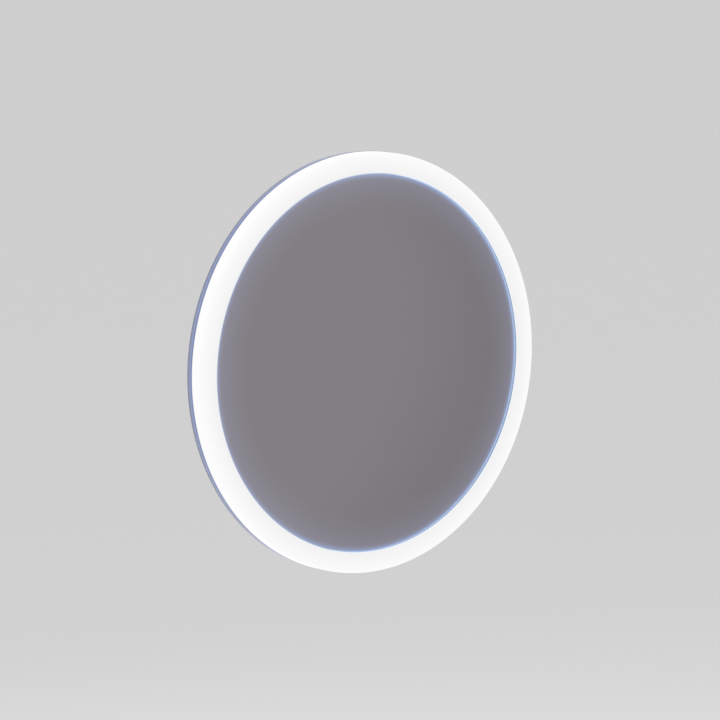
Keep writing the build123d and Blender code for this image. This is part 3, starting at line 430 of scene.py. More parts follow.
def coilTree():
    # A compression spring wound up from its foot, its turns closing up at both ends
    tree, inp, out = geometryTree(
        "coilSpring",
        [("Turns", "Float", 7.0), ("Radius", "Float", 0.0013), ("Wire Radius", "Float", 0.0002),
         ("Height", "Float", 0.012), ("Centre", "Vector", (0, 0, 0)), ("Material", "Material", None)],
    )
    spiral = fill(addNode(tree, "GeometryNodeCurveSpiral"), Resolution=40)
    for source, target in (("Turns", "Rotations"), ("Radius", "Start Radius"), ("Radius", "End Radius"),
                           ("Height", "Height")):
        tree.links.new(inp.outputs[source], spiral.inputs[target])
    parts = addNode(tree, "ShaderNodeSeparateXYZ")
    tree.links.new(addNode(tree, "GeometryNodeInputPosition").outputs[0], parts.inputs[0])
    eased = addNode(tree, "ShaderNodeMapRange", interpolation_type="SMOOTHSTEP")
    for socket, source in (("Value", parts.outputs[2]), ("From Max", inp.outputs["Height"]),
                           ("To Max", inp.outputs["Height"])):
        tree.links.new(source, eased.inputs[socket])
    place = addNode(tree, "ShaderNodeCombineXYZ")
    for axis, source in enumerate((parts.outputs[0], parts.outputs[1], eased.outputs[0])):
        tree.links.new(source, place.inputs[axis])
    wound = addNode(tree, "GeometryNodeSetPosition")
    tree.links.new(spiral.outputs[0], wound.inputs["Geometry"])
    tree.links.new(place.outputs[0], wound.inputs["Position"])
    tree.links.new(inp.outputs["Centre"], wound.inputs["Offset"])
    wire = fill(addNode(tree, "GeometryNodeCurvePrimitiveCircle"), Resolution=12)
    tree.links.new(inp.outputs["Wire Radius"], wire.inputs["Radius"])
    tube = fill(addNode(tree, "GeometryNodeCurveToMesh"), Fill_Caps=True)
    tree.links.new(wound.outputs[0], tube.inputs["Curve"])
    tree.links.new(wire.outputs[0], tube.inputs["Profile Curve"])
    real = addNode(tree, "GeometryNodeRealizeInstances")
    finish = addNode(tree, "GeometryNodeSetMaterial")
    tree.links.new(tube.outputs[0], real.inputs[0])
    tree.links.new(real.outputs[0], finish.inputs["Geometry"])
    tree.links.new(inp.outputs["Material"], finish.inputs["Material"])
    tree.links.new(finish.outputs[0], out.inputs["Geometry"])
    return tree


growing = {"circle": circleTree(), "row": rowTree(), "coil": coilTree()}


def grow(name, seed, way, **values):
    # Copies a small mesh by one of the trees, inputs by name with underscores for spaces
    modifier = seed.modifiers.new("copies", "NODES")
    modifier.node_group = growing[way]
    for item in growing[way].interface.items_tree:
        key = item.name.replace(" ", "_")
        if item.in_out == "INPUT" and key in values:
            modifier[item.identifier] = values[key]
    return bakeObject(name, seed)


groups = {"mottle": moteGroup(), "rolled": rolledGroup(), "radial": radialGroup(), "depth": depthGroup()}


def useGroup(tree, key, vector, **values):
    node = addNode(tree, "ShaderNodeGroup", node_tree=groups[key])
    tree.links.new(vector, node.inputs["Vector"])
    return fill(node, **values)


def newMaterial(name, **values):
    # A material with a Principled BSDF whose fixed values are set on its own sockets
    first, *others = name.split("_")
    material = bpy.data.materials.new(first + "".join(word.capitalize() for word in others) + "Finish")
    material.use_nodes = True
    tree = material.node_tree
    shader = tree.nodes["Principled BSDF"]
    fill(shader, **values)
    coordinates = addNode(tree, "ShaderNodeTexCoord").outputs["Object"]
    return material, tree, shader, coordinates


def addBump(tree, shader, height, strength, distance):
    bump = fill(addNode(tree, "ShaderNodeBump"), Strength=strength, Distance=distance)
    tree.links.new(height, bump.inputs["Height"])
    tree.links.new(bump.outputs[0], shader.inputs["Normal"])
    return bump


# Mottled finishes: colour, shade, scale of the grain, roughness, its spread, bump distance
mottled = {
    "foam_tape": dict(colour=(0.62, 0.62, 0.6), shade=0.8, scale=900, roughness=0.9, spread=0.1, bump=0.0002),
    "white_film": dict(colour=(0.86, 0.86, 0.86), shade=0.95, scale=700, roughness=0.6, spread=0.1, bump=0.00003),
    "circuit_tape": dict(colour=(0.8, 0.8, 0.74), shade=0.9, scale=500, roughness=0.45, spread=0.1, bump=0.00003),
    "rubber": dict(colour=(0.022, 0.022, 0.024), shade=0.7, scale=900, roughness=0.62, spread=0.25, bump=0.00006),
    "white_plastic": dict(colour=(0.72, 0.72, 0.7), shade=0.93, scale=1400, roughness=0.42, spread=0.2,
                          bump=0.00004),
    "grey_plastic": dict(colour=(0.24, 0.25, 0.27), shade=0.88, scale=1400, roughness=0.45, spread=0.2,
                         bump=0.00004),
    "circuit_board": dict(colour=(0.012, 0.1, 0.035), shade=0.7, scale=260, roughness=0.35, spread=0.1,
                          bump=0.00003),
    "ferrite": dict(colour=(0.03, 0.03, 0.032), shade=0.75, scale=1200, roughness=0.55, spread=0.2, bump=0.00005),
    "capacitor_sleeve": dict(colour=(0.01, 0.014, 0.05), shade=0.85, scale=500, roughness=0.3, spread=0.1,
                             bump=0.00001),
    "blue_lead": dict(colour=(0.02, 0.1, 0.48), shade=0.85, scale=700, roughness=0.4, spread=0.1, bump=0.00001),
    "brown_lead": dict(colour=(0.11, 0.04, 0.015), shade=0.85, scale=700, roughness=0.4, spread=0.1,
                       bump=0.00001),
    "black_lead": dict(colour=(0.012, 0.012, 0.012), shade=0.85, scale=700, roughness=0.4, spread=0.1,
                       bump=0.00001),
    "red_lead": dict(colour=(0.5, 0.012, 0.01), shade=0.85, scale=700, roughness=0.4, spread=0.1, bump=0.00001),
    "white_lead": dict(colour=(0.7, 0.7, 0.7), shade=0.9, scale=700, roughness=0.4, spread=0.1, bump=0.00001),
    "painted_steel": dict(colour=(0.6, 0.61, 0.62), shade=0.93, scale=1100, roughness=0.5, spread=0.16,
                          bump=0.00012),
}


def mottledMaterial(name, colour, shade, scale, roughness, spread, bump):
    material, tree, shader, coordinates = newMaterial(name)
    mottle = useGroup(tree, "mottle", coordinates, Colour=(*colour, 1), Shade=shade, Scale=scale,
                      Roughness=roughness, Spread=spread)
    tree.links.new(mottle.outputs["Colour"], shader.inputs["Base Color"])
    tree.links.new(mottle.outputs["Roughness"], shader.inputs["Roughness"])
    addBump(tree, shader, mottle.outputs["Height"], 0.5, bump)
    return material


# Metals: colour, direction of the lines, crystals of zinc, roughness
metals = {
    "zinc_steel": dict(colour=(0.62, 0.63, 0.65), stretch=(1, 30, 30), scale=20, crystals=170, mix=0.35,
                       roughness=0.34, spread=0.25, bump=0.00002),
    "spring_steel": dict(colour=(0.5, 0.5, 0.52), stretch=(1, 1, 1), scale=400, crystals=900, mix=0.1,
                         roughness=0.28, spread=0.1, bump=0.00001),
    "aluminium": dict(colour=(0.78, 0.79, 0.81), stretch=(1, 1, 40), scale=30, crystals=2000, mix=0.05,
                      roughness=0.36, spread=0.2, bump=0.00002),
    "brass": dict(colour=(0.72, 0.52, 0.2), stretch=(1, 1, 12), scale=120, crystals=1500, mix=0.08,
                  roughness=0.3, spread=0.15, bump=0.00001),
}


def metalMaterial(name, colour, stretch, scale, crystals, mix, roughness, spread, bump):
    material, tree, shader, coordinates = newMaterial(name, Metallic=1.0)
    rolled = useGroup(tree, "rolled", coordinates, Colour=(*colour, 1), Stretch=stretch, Scale=scale,
                      Crystals=crystals, Crystal_Mix=mix, Roughness=roughness, Spread=spread)
    tree.links.new(rolled.outputs["Colour"], shader.inputs["Base Color"])
    tree.links.new(rolled.outputs["Roughness"], shader.inputs["Roughness"])
    addBump(tree, shader, rolled.outputs["Height"], 0.4, bump)
    return material


# Lit and clear finishes, with painted light where the ring's glow falls on the clear ring, the glass edge and the
# mirror
opal = {
    "base": (0.25, 0.25, 0.25),
    "outer": (0.725, 0.725, 0.725),
    "inner": (0.64, 0.64, 0.641),
    "lip": (0.68, 0.74, 0.82),
    # Painted shade: the back of the lit wall is dimmed to a dark blue where it meets the clear ring
    "rearShadeBase": (0.04, 0.05, 0.08),
    "rearDimGlow": (0.13, 0.165, 0.32),
    "rearShadeBand": (0.0028, 0.004),
    "strength": 1.0,
    "fadeWidth": 0.0295,
    "lipWidth": 0.0006,
    "roughness": 0.38,
}
clear = {
    "base": (0.11, 0.12, 0.18),
    # Painted light on the clear ring, which is no lamp: its side is brighter at the front than at the wall, and it
    # is brightest inwards near the lamps
    "front": (0.11, 0.135, 0.25),
    "rear": (0.06, 0.06, 0.08),
    "glow": (0.72, 0.82, 0.98),
    "glowWidth": 0.0132,
    "glowPower": 1.6,
    "strength": 1.0,
    "roughness": 0.12,
}
glow = {
    "glass": (0.985, 0.995, 0.99),
    "silver": (0.955, 0.965, 0.975),
    # Painted reflection: the ring's glow in the mirror near its rim, a wide faint one and a narrow blue one
    "far": (0.06, 0.06, 0.105),
    "farWidth": 0.065,
    "farPower": 2.3,
    "near": (0.08, 0.18, 0.38),
    "nearWidth": 0.01,
    "nearPower": 2.0,
    "edgeBase": (0.25, 0.26, 0.28),
    # Painted light from the ring on the glass's ground edge, brighter at the front bevel
    "edgeColour": (0.185, 0.227, 0.294),
    "bevelColour": (0.34, 0.4, 0.48),
    "bevelReach": 0.0009,
}


def opalMaterial():
    material, tree, shader, coordinates = newMaterial(
        "opal_acrylic", IOR=1.49, Coat_Weight=0.15, Coat_Roughness=0.2, Emission_Strength=opal["strength"])
    fade = useGroup(tree, "radial", coordinates, Centre_Height=mirrorZ, Radius=bandInner + opal["fadeWidth"],
                    Width=opal["fadeWidth"], Power=1.0)
    lip = useGroup(tree, "radial", coordinates, Centre_Height=mirrorZ, Radius=bandInner + opal["lipWidth"],
                   Width=opal["lipWidth"], Power=1.0)
    mottle = useGroup(tree, "mottle", coordinates, Colour=(*opal["base"], 1), Shade=0.98, Scale=900.0,
                      Roughness=opal["roughness"], Spread=0.08)
    # Painted shade: over the back 2.8 to 4 mm of the lit wall the glow fades to a dim blue and the base turns dark
    start, end = (-ringHigh.y + reach for reach in opal["rearShadeBand"])
    band = useGroup(tree, "depth", coordinates, From_Depth=start, To_Depth=end, Power=1.0)
    inward = mathNode(tree, "SUBTRACT", 1.0, fade.outputs["Mask"])
    light = mixColour(tree, inward, (*opal["outer"], 1), (*opal["inner"], 1))
    light = mixColour(tree, mathNode(tree, "SUBTRACT", 1.0, lip.outputs["Mask"]), light, (*opal["lip"], 1))
    light = mixColour(tree, band.outputs["Mask"], (*opal["rearDimGlow"], 1), light)
    base = mixColour(tree, band.outputs["Mask"], (*opal["rearShadeBase"], 1), mottle.outputs["Colour"])
    tree.links.new(light, shader.inputs["Emission Color"])
    tree.links.new(base, shader.inputs["Base Color"])
    tree.links.new(mottle.outputs["Roughness"], shader.inputs["Roughness"])
    addBump(tree, shader, mottle.outputs["Height"], 0.2, 0.00002)
    return material


def clearMaterial():
    material, tree, shader, coordinates = newMaterial(
        "clear_acrylic", IOR=1.49, Transmission_Weight=0.35, Coat_Weight=0.4, Coat_Roughness=0.06,
        Emission_Strength=clear["strength"])
    # Painted light: the LEDs' glow on the clear acrylic, dimmer towards the wall, and brightest inwards, fading
    # towards the outer rim
    depth = useGroup(tree, "depth", coordinates, From_Depth=-clearHigh.y, To_Depth=-clearLow.y, Power=2.2)
    mottle = useGroup(tree, "mottle", coordinates, Colour=(*clear["base"], 1), Shade=0.85, Scale=140.0,
                      Cloud=9.0, Roughness=clear["roughness"], Spread=0.12)
    edge = useGroup(tree, "radial", coordinates, Centre_Height=mirrorZ, Radius=ringRadius,
                    Width=clear["glowWidth"], Power=clear["glowPower"])
    side = mixColour(tree, depth.outputs["Mask"], (*clear["rear"], 1), (*clear["front"], 1))
    light = mixColour(tree, edge.outputs["Mask"], (*clear["glow"], 1), side)
    tree.links.new(light, shader.inputs["Emission Color"])
    tree.links.new(mottle.outputs["Colour"], shader.inputs["Base Color"])
    tree.links.new(mottle.outputs["Roughness"], shader.inputs["Roughness"])
    addBump(tree, shader, mottle.outputs["Height"], 0.15, 0.00003)
    return material


def glassMaterial():
    # Nearly clear, its faint green a little uneven
    material, tree, shader, coordinates = newMaterial("float_glass", IOR=1.52, Transmission_Weight=1.0)
    mottle = useGroup(tree, "mottle", coordinates, Colour=(*glow["glass"], 1), Shade=0.995, Scale=45.0,
                      Cloud=3.0, Roughness=0.004, Spread=0.004)
    tree.links.new(mottle.outputs["Colour"], shader.inputs["Base Color"])
    tree.links.new(mottle.outputs["Roughness"], shader.inputs["Roughness"])
    return material


def groundEdgeMaterial():
    # Painted light from the ring beside it, most at the bevel in front
    material, tree, shader, coordinates = newMaterial("ground_edge", IOR=1.52, Emission_Strength=1.0)
    mottle = useGroup(tree, "mottle", coordinates, Colour=(*glow["edgeBase"], 1), Shade=0.9, Scale=1500.0,
                      Roughness=0.6, Spread=0.1)
    tree.links.new(mottle.outputs["Colour"], shader.inputs["Base Color"])
    bevel = useGroup(tree, "depth", coordinates, From_Depth=-glassLow.y - glow["bevelReach"],
                     To_Depth=-glassLow.y, Power=1.0)
    light = mixColour(tree, bevel.outputs["Mask"], (*glow["edgeColour"], 1), (*glow["bevelColour"], 1))
    tree.links.new(light, shader.inputs["Emission Color"])
    tree.links.new(mottle.outputs["Roughness"], shader.inputs["Roughness"])
    addBump(tree, shader, mottle.outputs["Height"], 0.5, 0.00003)
    return material


def silverMaterial():
    material, tree, shader, coordinates = newMaterial(
        "silver", Metallic=1.0, Emission_Strength=1.0)
    # Painted reflection: the ring's glow in the mirror, strongest at the rim and fading inwards
    far, near = (
        useGroup(tree, "radial", coordinates, Centre_Height=mirrorZ, Radius=glassRadius,
                 Width=glow[reach + "Width"], Power=glow[reach + "Power"])
        for reach in ("far", "near")
    )
    mottle = useGroup(tree, "mottle", coordinates, Colour=(*glow["silver"], 1), Shade=0.985, Scale=60.0,
                      Cloud=4.0, Roughness=0.012, Spread=0.008)
    tree.links.new(mottle.outputs["Colour"], shader.inputs["Base Color"])
    tree.links.new(mottle.outputs["Roughness"], shader.inputs["Roughness"])
    farLight = mixColour(tree, far.outputs["Mask"], (0, 0, 0, 1), (*glow["far"], 1))
    nearLight = mixColour(tree, near.outputs["Mask"], (0, 0, 0, 1), (*glow["near"], 1))
    tree.links.new(mixColour(tree, 1.0, farLight, nearLight, "ADD"), shader.inputs["Emission Color"])
    return material


def ledMaterial():
    material, tree, shader, coordinates = newMaterial(
        "led_lens", IOR=1.5, Emission_Strength=1.0)
    mottle = useGroup(tree, "mottle", coordinates, Colour=(0.85, 0.8, 0.45, 1), Shade=0.9, Scale=1800.0,
                      Roughness=0.3, Spread=0.1)
    tree.links.new(mottle.outputs["Colour"], shader.inputs["Base Color"])
    tree.links.new(mottle.outputs["Roughness"], shader.inputs["Roughness"])
    tree.links.new(mixColour(tree, 0.5, mottle.outputs["Colour"], (1, 1, 1, 1)), shader.inputs["Emission Color"])
    return material


def stripedLeadMaterial():
    # Green insulation with a yellow stripe along one side
    material, tree, shader, coordinates = newMaterial("green_lead")
    mottle = useGroup(tree, "mottle", coordinates, Colour=(0.05, 0.26, 0.03, 1), Shade=0.9, Scale=700.0,
                      Roughness=0.4, Spread=0.1)
    parts = addNode(tree, "ShaderNodeSeparateXYZ")
    tree.links.new(coordinates, parts.inputs[0])
    wave = mathNode(tree, "SINE", mathNode(tree, "MULTIPLY", parts.outputs[2], 900.0))
    stripe = mathNode(tree, "GREATER_THAN", wave, 0.2)
    tree.links.new(mixColour(tree, stripe, mottle.outputs["Colour"], (0.65, 0.55, 0.02, 1)),
                   shader.inputs["Base Color"])
    tree.links.new(mottle.outputs["Roughness"], shader.inputs["Roughness"])
    return material


materials = {name: mottledMaterial(name, **values) for name, values in mottled.items()}
materials.update({name: metalMaterial(name, **values) for name, values in metals.items()})
materials["opal_acrylic"] = opalMaterial()
materials["clear_acrylic"] = clearMaterial()
materials["glass"] = glassMaterial()
materials["silver"] = silverMaterial()
materials["led_lens"] = ledMaterial()
materials["green_lead"] = stripedLeadMaterial()
print("materials made:", len(materials))

slotOf = {part["node"]: part["material_slot"] for part in frame["record"]["subparts"]}
for name, obj in nodes.items():
    obj.data.materials.clear()
    obj.data.materials.append(materials[slotOf[name]])

# Light ring: lit band, rounded outer edge, lit wall and the lip beside the glass
lightRing = {"wall": 0.003, "outerEdge": 0.0025, "innerEdge": 0.0005, "segments": 384}


def makeLightRing():
    front, rear = -ringLow.y, -ringHigh.y
    wall, outerEdge, innerEdge = lightRing["wall"], lightRing["outerEdge"], lightRing["innerEdge"]
    lipRear = -chassisLow.y
    profile = [(ringRadius - wall, rear), (ringRadius, rear)]
    profile += arcPoints((ringRadius - outerEdge, front - outerEdge), outerEdge, 0, 90, 10)
    steps = 8
    profile += [
        (ringRadius - outerEdge + (bandInner + innerEdge - ringRadius + outerEdge) * step / steps, front)
        for step in range(1, steps)
    ]
    profile += arcPoints((bandInner + innerEdge, front - innerEdge), innerEdge, 90, 180, 5)
    profile += [(bandInner, lipRear), (bandInner + wall, lipRear), (bandInner + wall, front - wall),
                (ringRadius - wall, front - wall)]
    ring = lathe("lightRing", profile, lightRing["segments"])
    ring.data.materials.append(materials["opal_acrylic"])
    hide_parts("light_ring")
    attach(ring, "mirror")


makeLightRing()

# Clear ring: polished edges, and a hole for each cover screw
clearRing = {"chamfer": 0.0006, "polish": 0.0002, "segments": 384, "holeRadius": 0.00201, "holeSegments": 24}
coverScrews = {
    "count": 12,
    "startAngle": math.radians(15),
    "circleRadius": (nodeRadii("chassis")[1] + bandInner + 0.003) / 2,
    "headRadius": 0.0037,
    "headHeight": 0.0021,
    "shankRadius": 0.00195,
    "threadDepth": 0.00025,
    "pitch": 0.0008,
    "crossLength": 0.0041,
    "crossWidth": 0.0009,
    "crossDepth": 0.00125,
    "segments": 24,
}


def screwCircle(name, seed, finish):
    return grow(name, seed, "circle", Count=coverScrews["count"], Radius=coverScrews["circleRadius"],
                Start_Angle=coverScrews["startAngle"], Centre=(0.0, 0.0, mirrorZ), Material=materials[finish])


def makeClearRing():
    front, rear = -clearLow.y, -clearHigh.y
    inner, outer = nodeRadii("clear_ring")
    chamfer, polish = clearRing["chamfer"], clearRing["polish"]
    profile = [(inner, rear), (outer - chamfer, rear), (outer, rear + chamfer), (outer, front - polish),
               (outer - polish, front), (inner, front)]
    ring = lathe("clearRing", profile, clearRing["segments"])
    screwDrill = drill(clearRing["holeRadius"], front, rear, clearRing["holeSegments"])
    ring = cutAway("clearRing", ring, screwCircle("drills", screwDrill, "clear_acrylic"))
    dress(ring, "clear_ring", "mirror", "clear_acrylic")


makeClearRing()


# Cover screws: pan heads with a cross recess, and threads
def threadWave(depth, pitch):
    # A ridge that winds along an axis
    def wave(angle, place):
        share = (place / pitch + angle / (2 * math.pi)) % 1
        return -depth * abs(2 * share - 1)
    return wave


def threadRings(radius, start, end, pitch, wave):
    # Profile points four to a pitch, so that the ridge keeps its shape
    steps = int((end - start) / pitch * 4)
    return [(radius, start + (end - start) * step / steps, wave) for step in range(1, steps)]


def crossCutter(size, top):
    # A tapered cross, its wide end at the top of a head
    length, width = size["crossLength"] / 2, size["crossWidth"] / 2
    outline = [(width, length), (width, width), (length, width), (length, -width), (width, -width),
               (width, -length), (-width, -length), (-width, -width), (-length, -width), (-length, width),
               (-width, width), (-width, length)]
    bm = bmesh.new()
    loops = []
    for height, taper in ((top + 0.0003, 1.15), (top - size["crossDepth"], 0.6)):
        loops.append([bm.verts.new((x * taper, height, z * taper)) for x, z in outline])
    bm.faces.new(loops[0])
    bm.faces.new(loops[1])
    for step in range(len(outline)):
        after = (step + 1) % len(outline)
        bm.faces.new((loops[0][step], loops[0][after], loops[1][after], loops[1][step]))
    return finishMesh(bm, "crossCutter")


def panScrew(name, size, length):
    # One screw on an axis along Y, the underside of its head at the origin
    head, height, shank = size["headRadius"], size["headHeight"], size["shankRadius"]
    wave = threadWave(size["threadDepth"], size["pitch"])
    profile = [(0, -height)]
    profile += arcPoints((head - height * 0.45, -height * 0.55), height * 0.45, -90, 0, 5)
    profile += [(head, -height * 0.12), (head - height * 0.08, 0), (shank, 0)]
    profile += threadRings(shank, 0, length - 0.0012, size["pitch"], wave)
    profile += [(shank * 0.72, length - 0.0006), (shank * 0.3, length), (0, length)]
    screw = lathe(name, profile, size["segments"], closed=False, centre=(0, 0), sharpAngle=math.radians(50))
    return cutAway(name, screw, crossCutter(size, height))


def makeCoverScrews():
    low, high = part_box("cover_screws")
    bearing = -high.y + coverScrews["headHeight"]
    screw = panScrew("coverScrew", coverScrews, -low.y - bearing)
    screw.data.transform(Matrix.Translation((0, -bearing, 0)))
    dress(screwCircle("coverScrews", screw, "zinc_steel"), "cover_screws", "mirror", "zinc_steel")


makeCoverScrews()

# Light-emitting diodes: white bodies with a yellow lens, grown round the tape
leds = {"count": 96, "height": 0.0008, "halfWidth": 0.0014, "halfLength": 0.00175, "rim": 0.00028,
        "recess": 0.00022, "corner": 0.00025, "glue": 0.00005}


def stack(name, layers):
    # Joins outlines with cut corners, each a height along X, half sizes along Y and Z, and the corner's cut
    bm = bmesh.new()
    loops = []
    for height, halfY, halfZ, corner in layers:
        outline = [(halfY, halfZ - corner), (halfY - corner, halfZ), (corner - halfY, halfZ),
                   (-halfY, halfZ - corner), (-halfY, corner - halfZ), (corner - halfY, -halfZ),
                   (halfY - corner, -halfZ), (halfY, corner - halfZ)]
        loops.append([bm.verts.new((height, y, z)) for y, z in outline])
    for first, second in zip(loops, loops[1:]):
        for step in range(8):
            after = (step + 1) % 8
            bm.faces.new((first[step], second[step], second[after], first[after]))
    bm.faces.new(loops[0])
    bm.faces.new(loops[-1])
    return finishMesh(bm, name)


def makeLeds():
    low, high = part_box("leds")
    middle = (low.y + high.y) / 2
    height, halfY, halfZ = leds["height"], leds["halfWidth"], leds["halfLength"]
    rim, recess, corner = leds["rim"], leds["recess"], leds["corner"]
    floor = height - recess
    body = stack("ledBody", [
        (0, halfY, halfZ, corner * 0.4), (height - 0.0001, halfY, halfZ, corner * 0.4),
        (height, halfY - 0.0001, halfZ - 0.0001, corner * 0.5), (height, halfY - rim, halfZ - rim, corner),
        (floor, halfY - rim * 1.6, halfZ - rim * 1.6, corner),
    ])
    lens = stack("ledLens", [
        (floor, halfY - rim * 1.6, halfZ - rim * 1.6, corner),
        (height - 0.00008, halfY - rim * 1.1, halfZ - rim * 1.1, corner),
        (height - 0.00003, (halfY - rim) * 0.6, (halfZ - rim) * 0.6, corner),
    ])
    base = nodeRadii("led_tape")[1] + leds["glue"]
    for name, seed, finish in (("ledBodies", body, "white_plastic"), ("ledLenses", lens, "led_lens")):
        grown = grow(name, seed, "circle", Count=leds["count"], Radius=base, Start_Angle=math.pi / leds["count"],
                     Centre=(0.0, middle, mirrorZ), Material=materials[finish])
        dress(grown, "leds", "mirror", finish)


makeLeds()

# Hanger rail rivets: domed heads with a pulled pin's dimple, and formed tails
railRivets = {"count": 4, "spacing": 0.08, "headRadius": 0.004, "headHeight": 0.0011, "pinRadius": 0.0011,
              "shankRadius": 0.0019, "tailRadius": 0.0032, "tailHeight": 0.0014, "segments": 32}


def rivetRow(name, seed, finish):
    low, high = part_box("rail_rivets")
    return grow(name, seed, "row", Count=railRivets["count"], Spacing=railRivets["spacing"],
                Centre=(0.0, 0.0, (low.z + high.z) / 2), Material=materials[finish])


# Back cover: a fine edge where the sheet was blanked, and its real holes
backCover = {"edge": 0.00025, "segments": 384, "rivetHole": 0.00196, "rim": 0.5,
             "holes": {"cable_grommet": 0.00656, "left_foot_stud": 0.00256, "right_foot_stud": 0.00256}}


def makeBackCover():
    low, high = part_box("back_cover")
    rear, front, radius, edge = -high.y, -low.y, (high.x - low.x) / 2, backCover["edge"]
    inner = radius * backCover["rim"]
    profile = [(0, rear), (inner, rear), (radius - edge, rear), (radius, rear + edge), (radius, front - edge),
               (radius - edge, front), (inner, front), (0, front)]
    cover = lathe("backCover", profile, backCover["segments"], closed=False)
    screwDrill = drill(clearRing["holeRadius"], front, rear, clearRing["holeSegments"])
    rivetDrill = drill(backCover["rivetHole"], front, rear, clearRing["holeSegments"])
    cutters = [screwCircle("drills", screwDrill, "painted_steel"), rivetRow("drills", rivetDrill, "painted_steel")]
    for node, radius in backCover["holes"].items():
        cutters.append(drill(radius, front, rear, clearRing["holeSegments"], nodeCentre(node)))
    cover = cutAway("backCover", cover, joinMeshes("drills", cutters))
    dress(cover, "back_cover", "mirror", "painted_steel")


makeBackCover()

def makeRivets():
    low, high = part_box("rail_rivets")
    top, end = -high.y, -low.y
    head, height, pin = railRivets["headRadius"], railRivets["headHeight"], railRivets["pinRadius"]
    tail, shank = railRivets["tailRadius"], railRivets["shankRadius"]
    tailStart = end - railRivets["tailHeight"]
    profile = [(0, top + height * 0.55), (pin * 0.9, top + height * 0.5), (pin, top + height * 0.08),
               (pin * 1.25, top)]
    profile += [(head * share, top + height * 0.9 * share ** 3.2) for share in (0.45, 0.6, 0.75, 0.88, 0.96)]
    profile += [(head, top + height * 0.94), (head, top + height), (shank, top + height), (shank, tailStart),
                (tail * 0.9, tailStart), (tail, tailStart + 0.0004), (tail, end - 0.0004), (tail * 0.8, end),
                (pin, end), (pin * 0.6, end - 0.0003), (0, end - 0.0003)]
    rivet = lathe("rivet", profile, railRivets["segments"], closed=False, centre=(0, 0))
    dress(rivetRow("railRivets", rivet, "aluminium"), "rail_rivets", "mirror", "aluminium")


makeRivets()

# Sheet metal and mouldings: the CAD shapes with softened edges, width of the softening and steps
softened = {
    "wall_bracket": ("wall_bracket", 0.0004, 2),
    "hanger_rail": ("mirror", 0.0004, 2),
    "switch_housing": ("mirror", 0.0005, 3),
    "cord_clamp": ("mirror", 0.0004, 3),
    "driver_case": ("mirror", 0.0004, 2),
    "driver_lid": ("mirror", 0.0004, 2),
    "terminal_block": ("mirror", 0.0003, 2),
}


def copyNode(name, node):
    # A merged copy of a CAD node with its flat faces made whole
    bm = bmesh.new()
    bm.from_mesh(nodes[node].data)
    bmesh.ops.remove_doubles(bm, verts=bm.verts, dist=1e-6)
    bmesh.ops.dissolve_limit(bm, angle_limit=math.radians(1), verts=bm.verts, edges=bm.edges)
    return finishMesh(bm, name, math.radians(25))


def flattenBroad(mesh):
    # Broad faces are shaded flat, and the narrow ones that round an edge are shaded smooth between them
    lengths = [(mesh.vertices[a].co - mesh.vertices[b].co).length for a, b in (edge.vertices for edge in mesh.edges)]
    for polygon in mesh.polygons:
        longest = max(lengths[mesh.loops[index].edge_index] for index in polygon.loop_indices)
        polygon.use_smooth = polygon.area / longest < 0.0007
    mesh.set_sharp_from_angle(angle=math.radians(50))


def softenNode(node, body, width, steps):
    piece = copyNode(node + "Soft", node)
    bevel = piece.modifiers.new("soft", "BEVEL")
    bevel.width = width
    bevel.segments = steps
    bevel.limit_method = "ANGLE"
    bevel.angle_limit = math.radians(40)
    bevel.use_clamp_overlap = True
    piece = bakeObject(node + "Soft", piece)
    flattenBroad(piece.data)
    dress(piece, node, body, slotOf[node])


for node, values in softened.items():
    softenNode(node, *values)

# Switch button: the CAD shape with grooves under the finger
switchButton = {"soft": 0.0003, "grooves": 4, "spacing": 0.003, "width": 0.0008, "depth": 0.0004}


def makeButton():
    low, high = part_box("switch_button")
    button = copyNode("switchButton", "switch_button")
    half, depth = switchButton["width"] / 2, switchButton["depth"]
    outline = [(-half * 1.4, low.z - 0.001), (half * 1.4, low.z - 0.001), (half * 0.8, low.z + depth),
               (-half * 0.8, low.z + depth)]
    bm = bmesh.new()
    ends = [[bm.verts.new((x, y, z)) for x, z in outline] for y in (low.y - 0.001, high.y + 0.001)]
    bm.faces.new(ends[0])
    bm.faces.new(ends[1])
    for step in range(4):
        after = (step + 1) % 4
        bm.faces.new((ends[0][step], ends[0][after], ends[1][after], ends[1][step]))
    groove = finishMesh(bm, "groove")
    grooves = grow("grooves", groove, "row", Count=switchButton["grooves"], Spacing=switchButton["spacing"],
                   Centre=(0.0, 0.0, 0.0), Material=materials["grey_plastic"])
    dress(cutAway("switchButton", button, grooves), "switch_button", "button", "grey_plastic")


makeButton()

# Return spring: closed end turns
switchSpring = {"turns": 7.0, "wireRadius": 0.0002, "press": 0.0015}


def makeSpring():
    low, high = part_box("switch_spring")
    wire, length = switchSpring["wireRadius"], high.z - low.z
    middle = (low + high) / 2
    seed = meshObject("seed", bpy.data.meshes.new("seed"))
    coil = grow("coil", seed, "coil", Turns=switchSpring["turns"], Radius=(high.x - low.x) / 2 - wire,
                Wire_Radius=wire, Height=length - 2 * wire, Centre=(middle.x, middle.y, low.z + wire),
                Material=materials["spring_steel"])
    bm = bmesh.new()
    bm.from_mesh(coil.data)
    bpy.data.objects.remove(coil)
    spring = finishMesh(bm, "switchSpring", math.radians(60))
    dress(spring, "switch_spring", "mirror", "spring_steel")
    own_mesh(spring)


makeSpring()
print("brackets and mouldings softened")

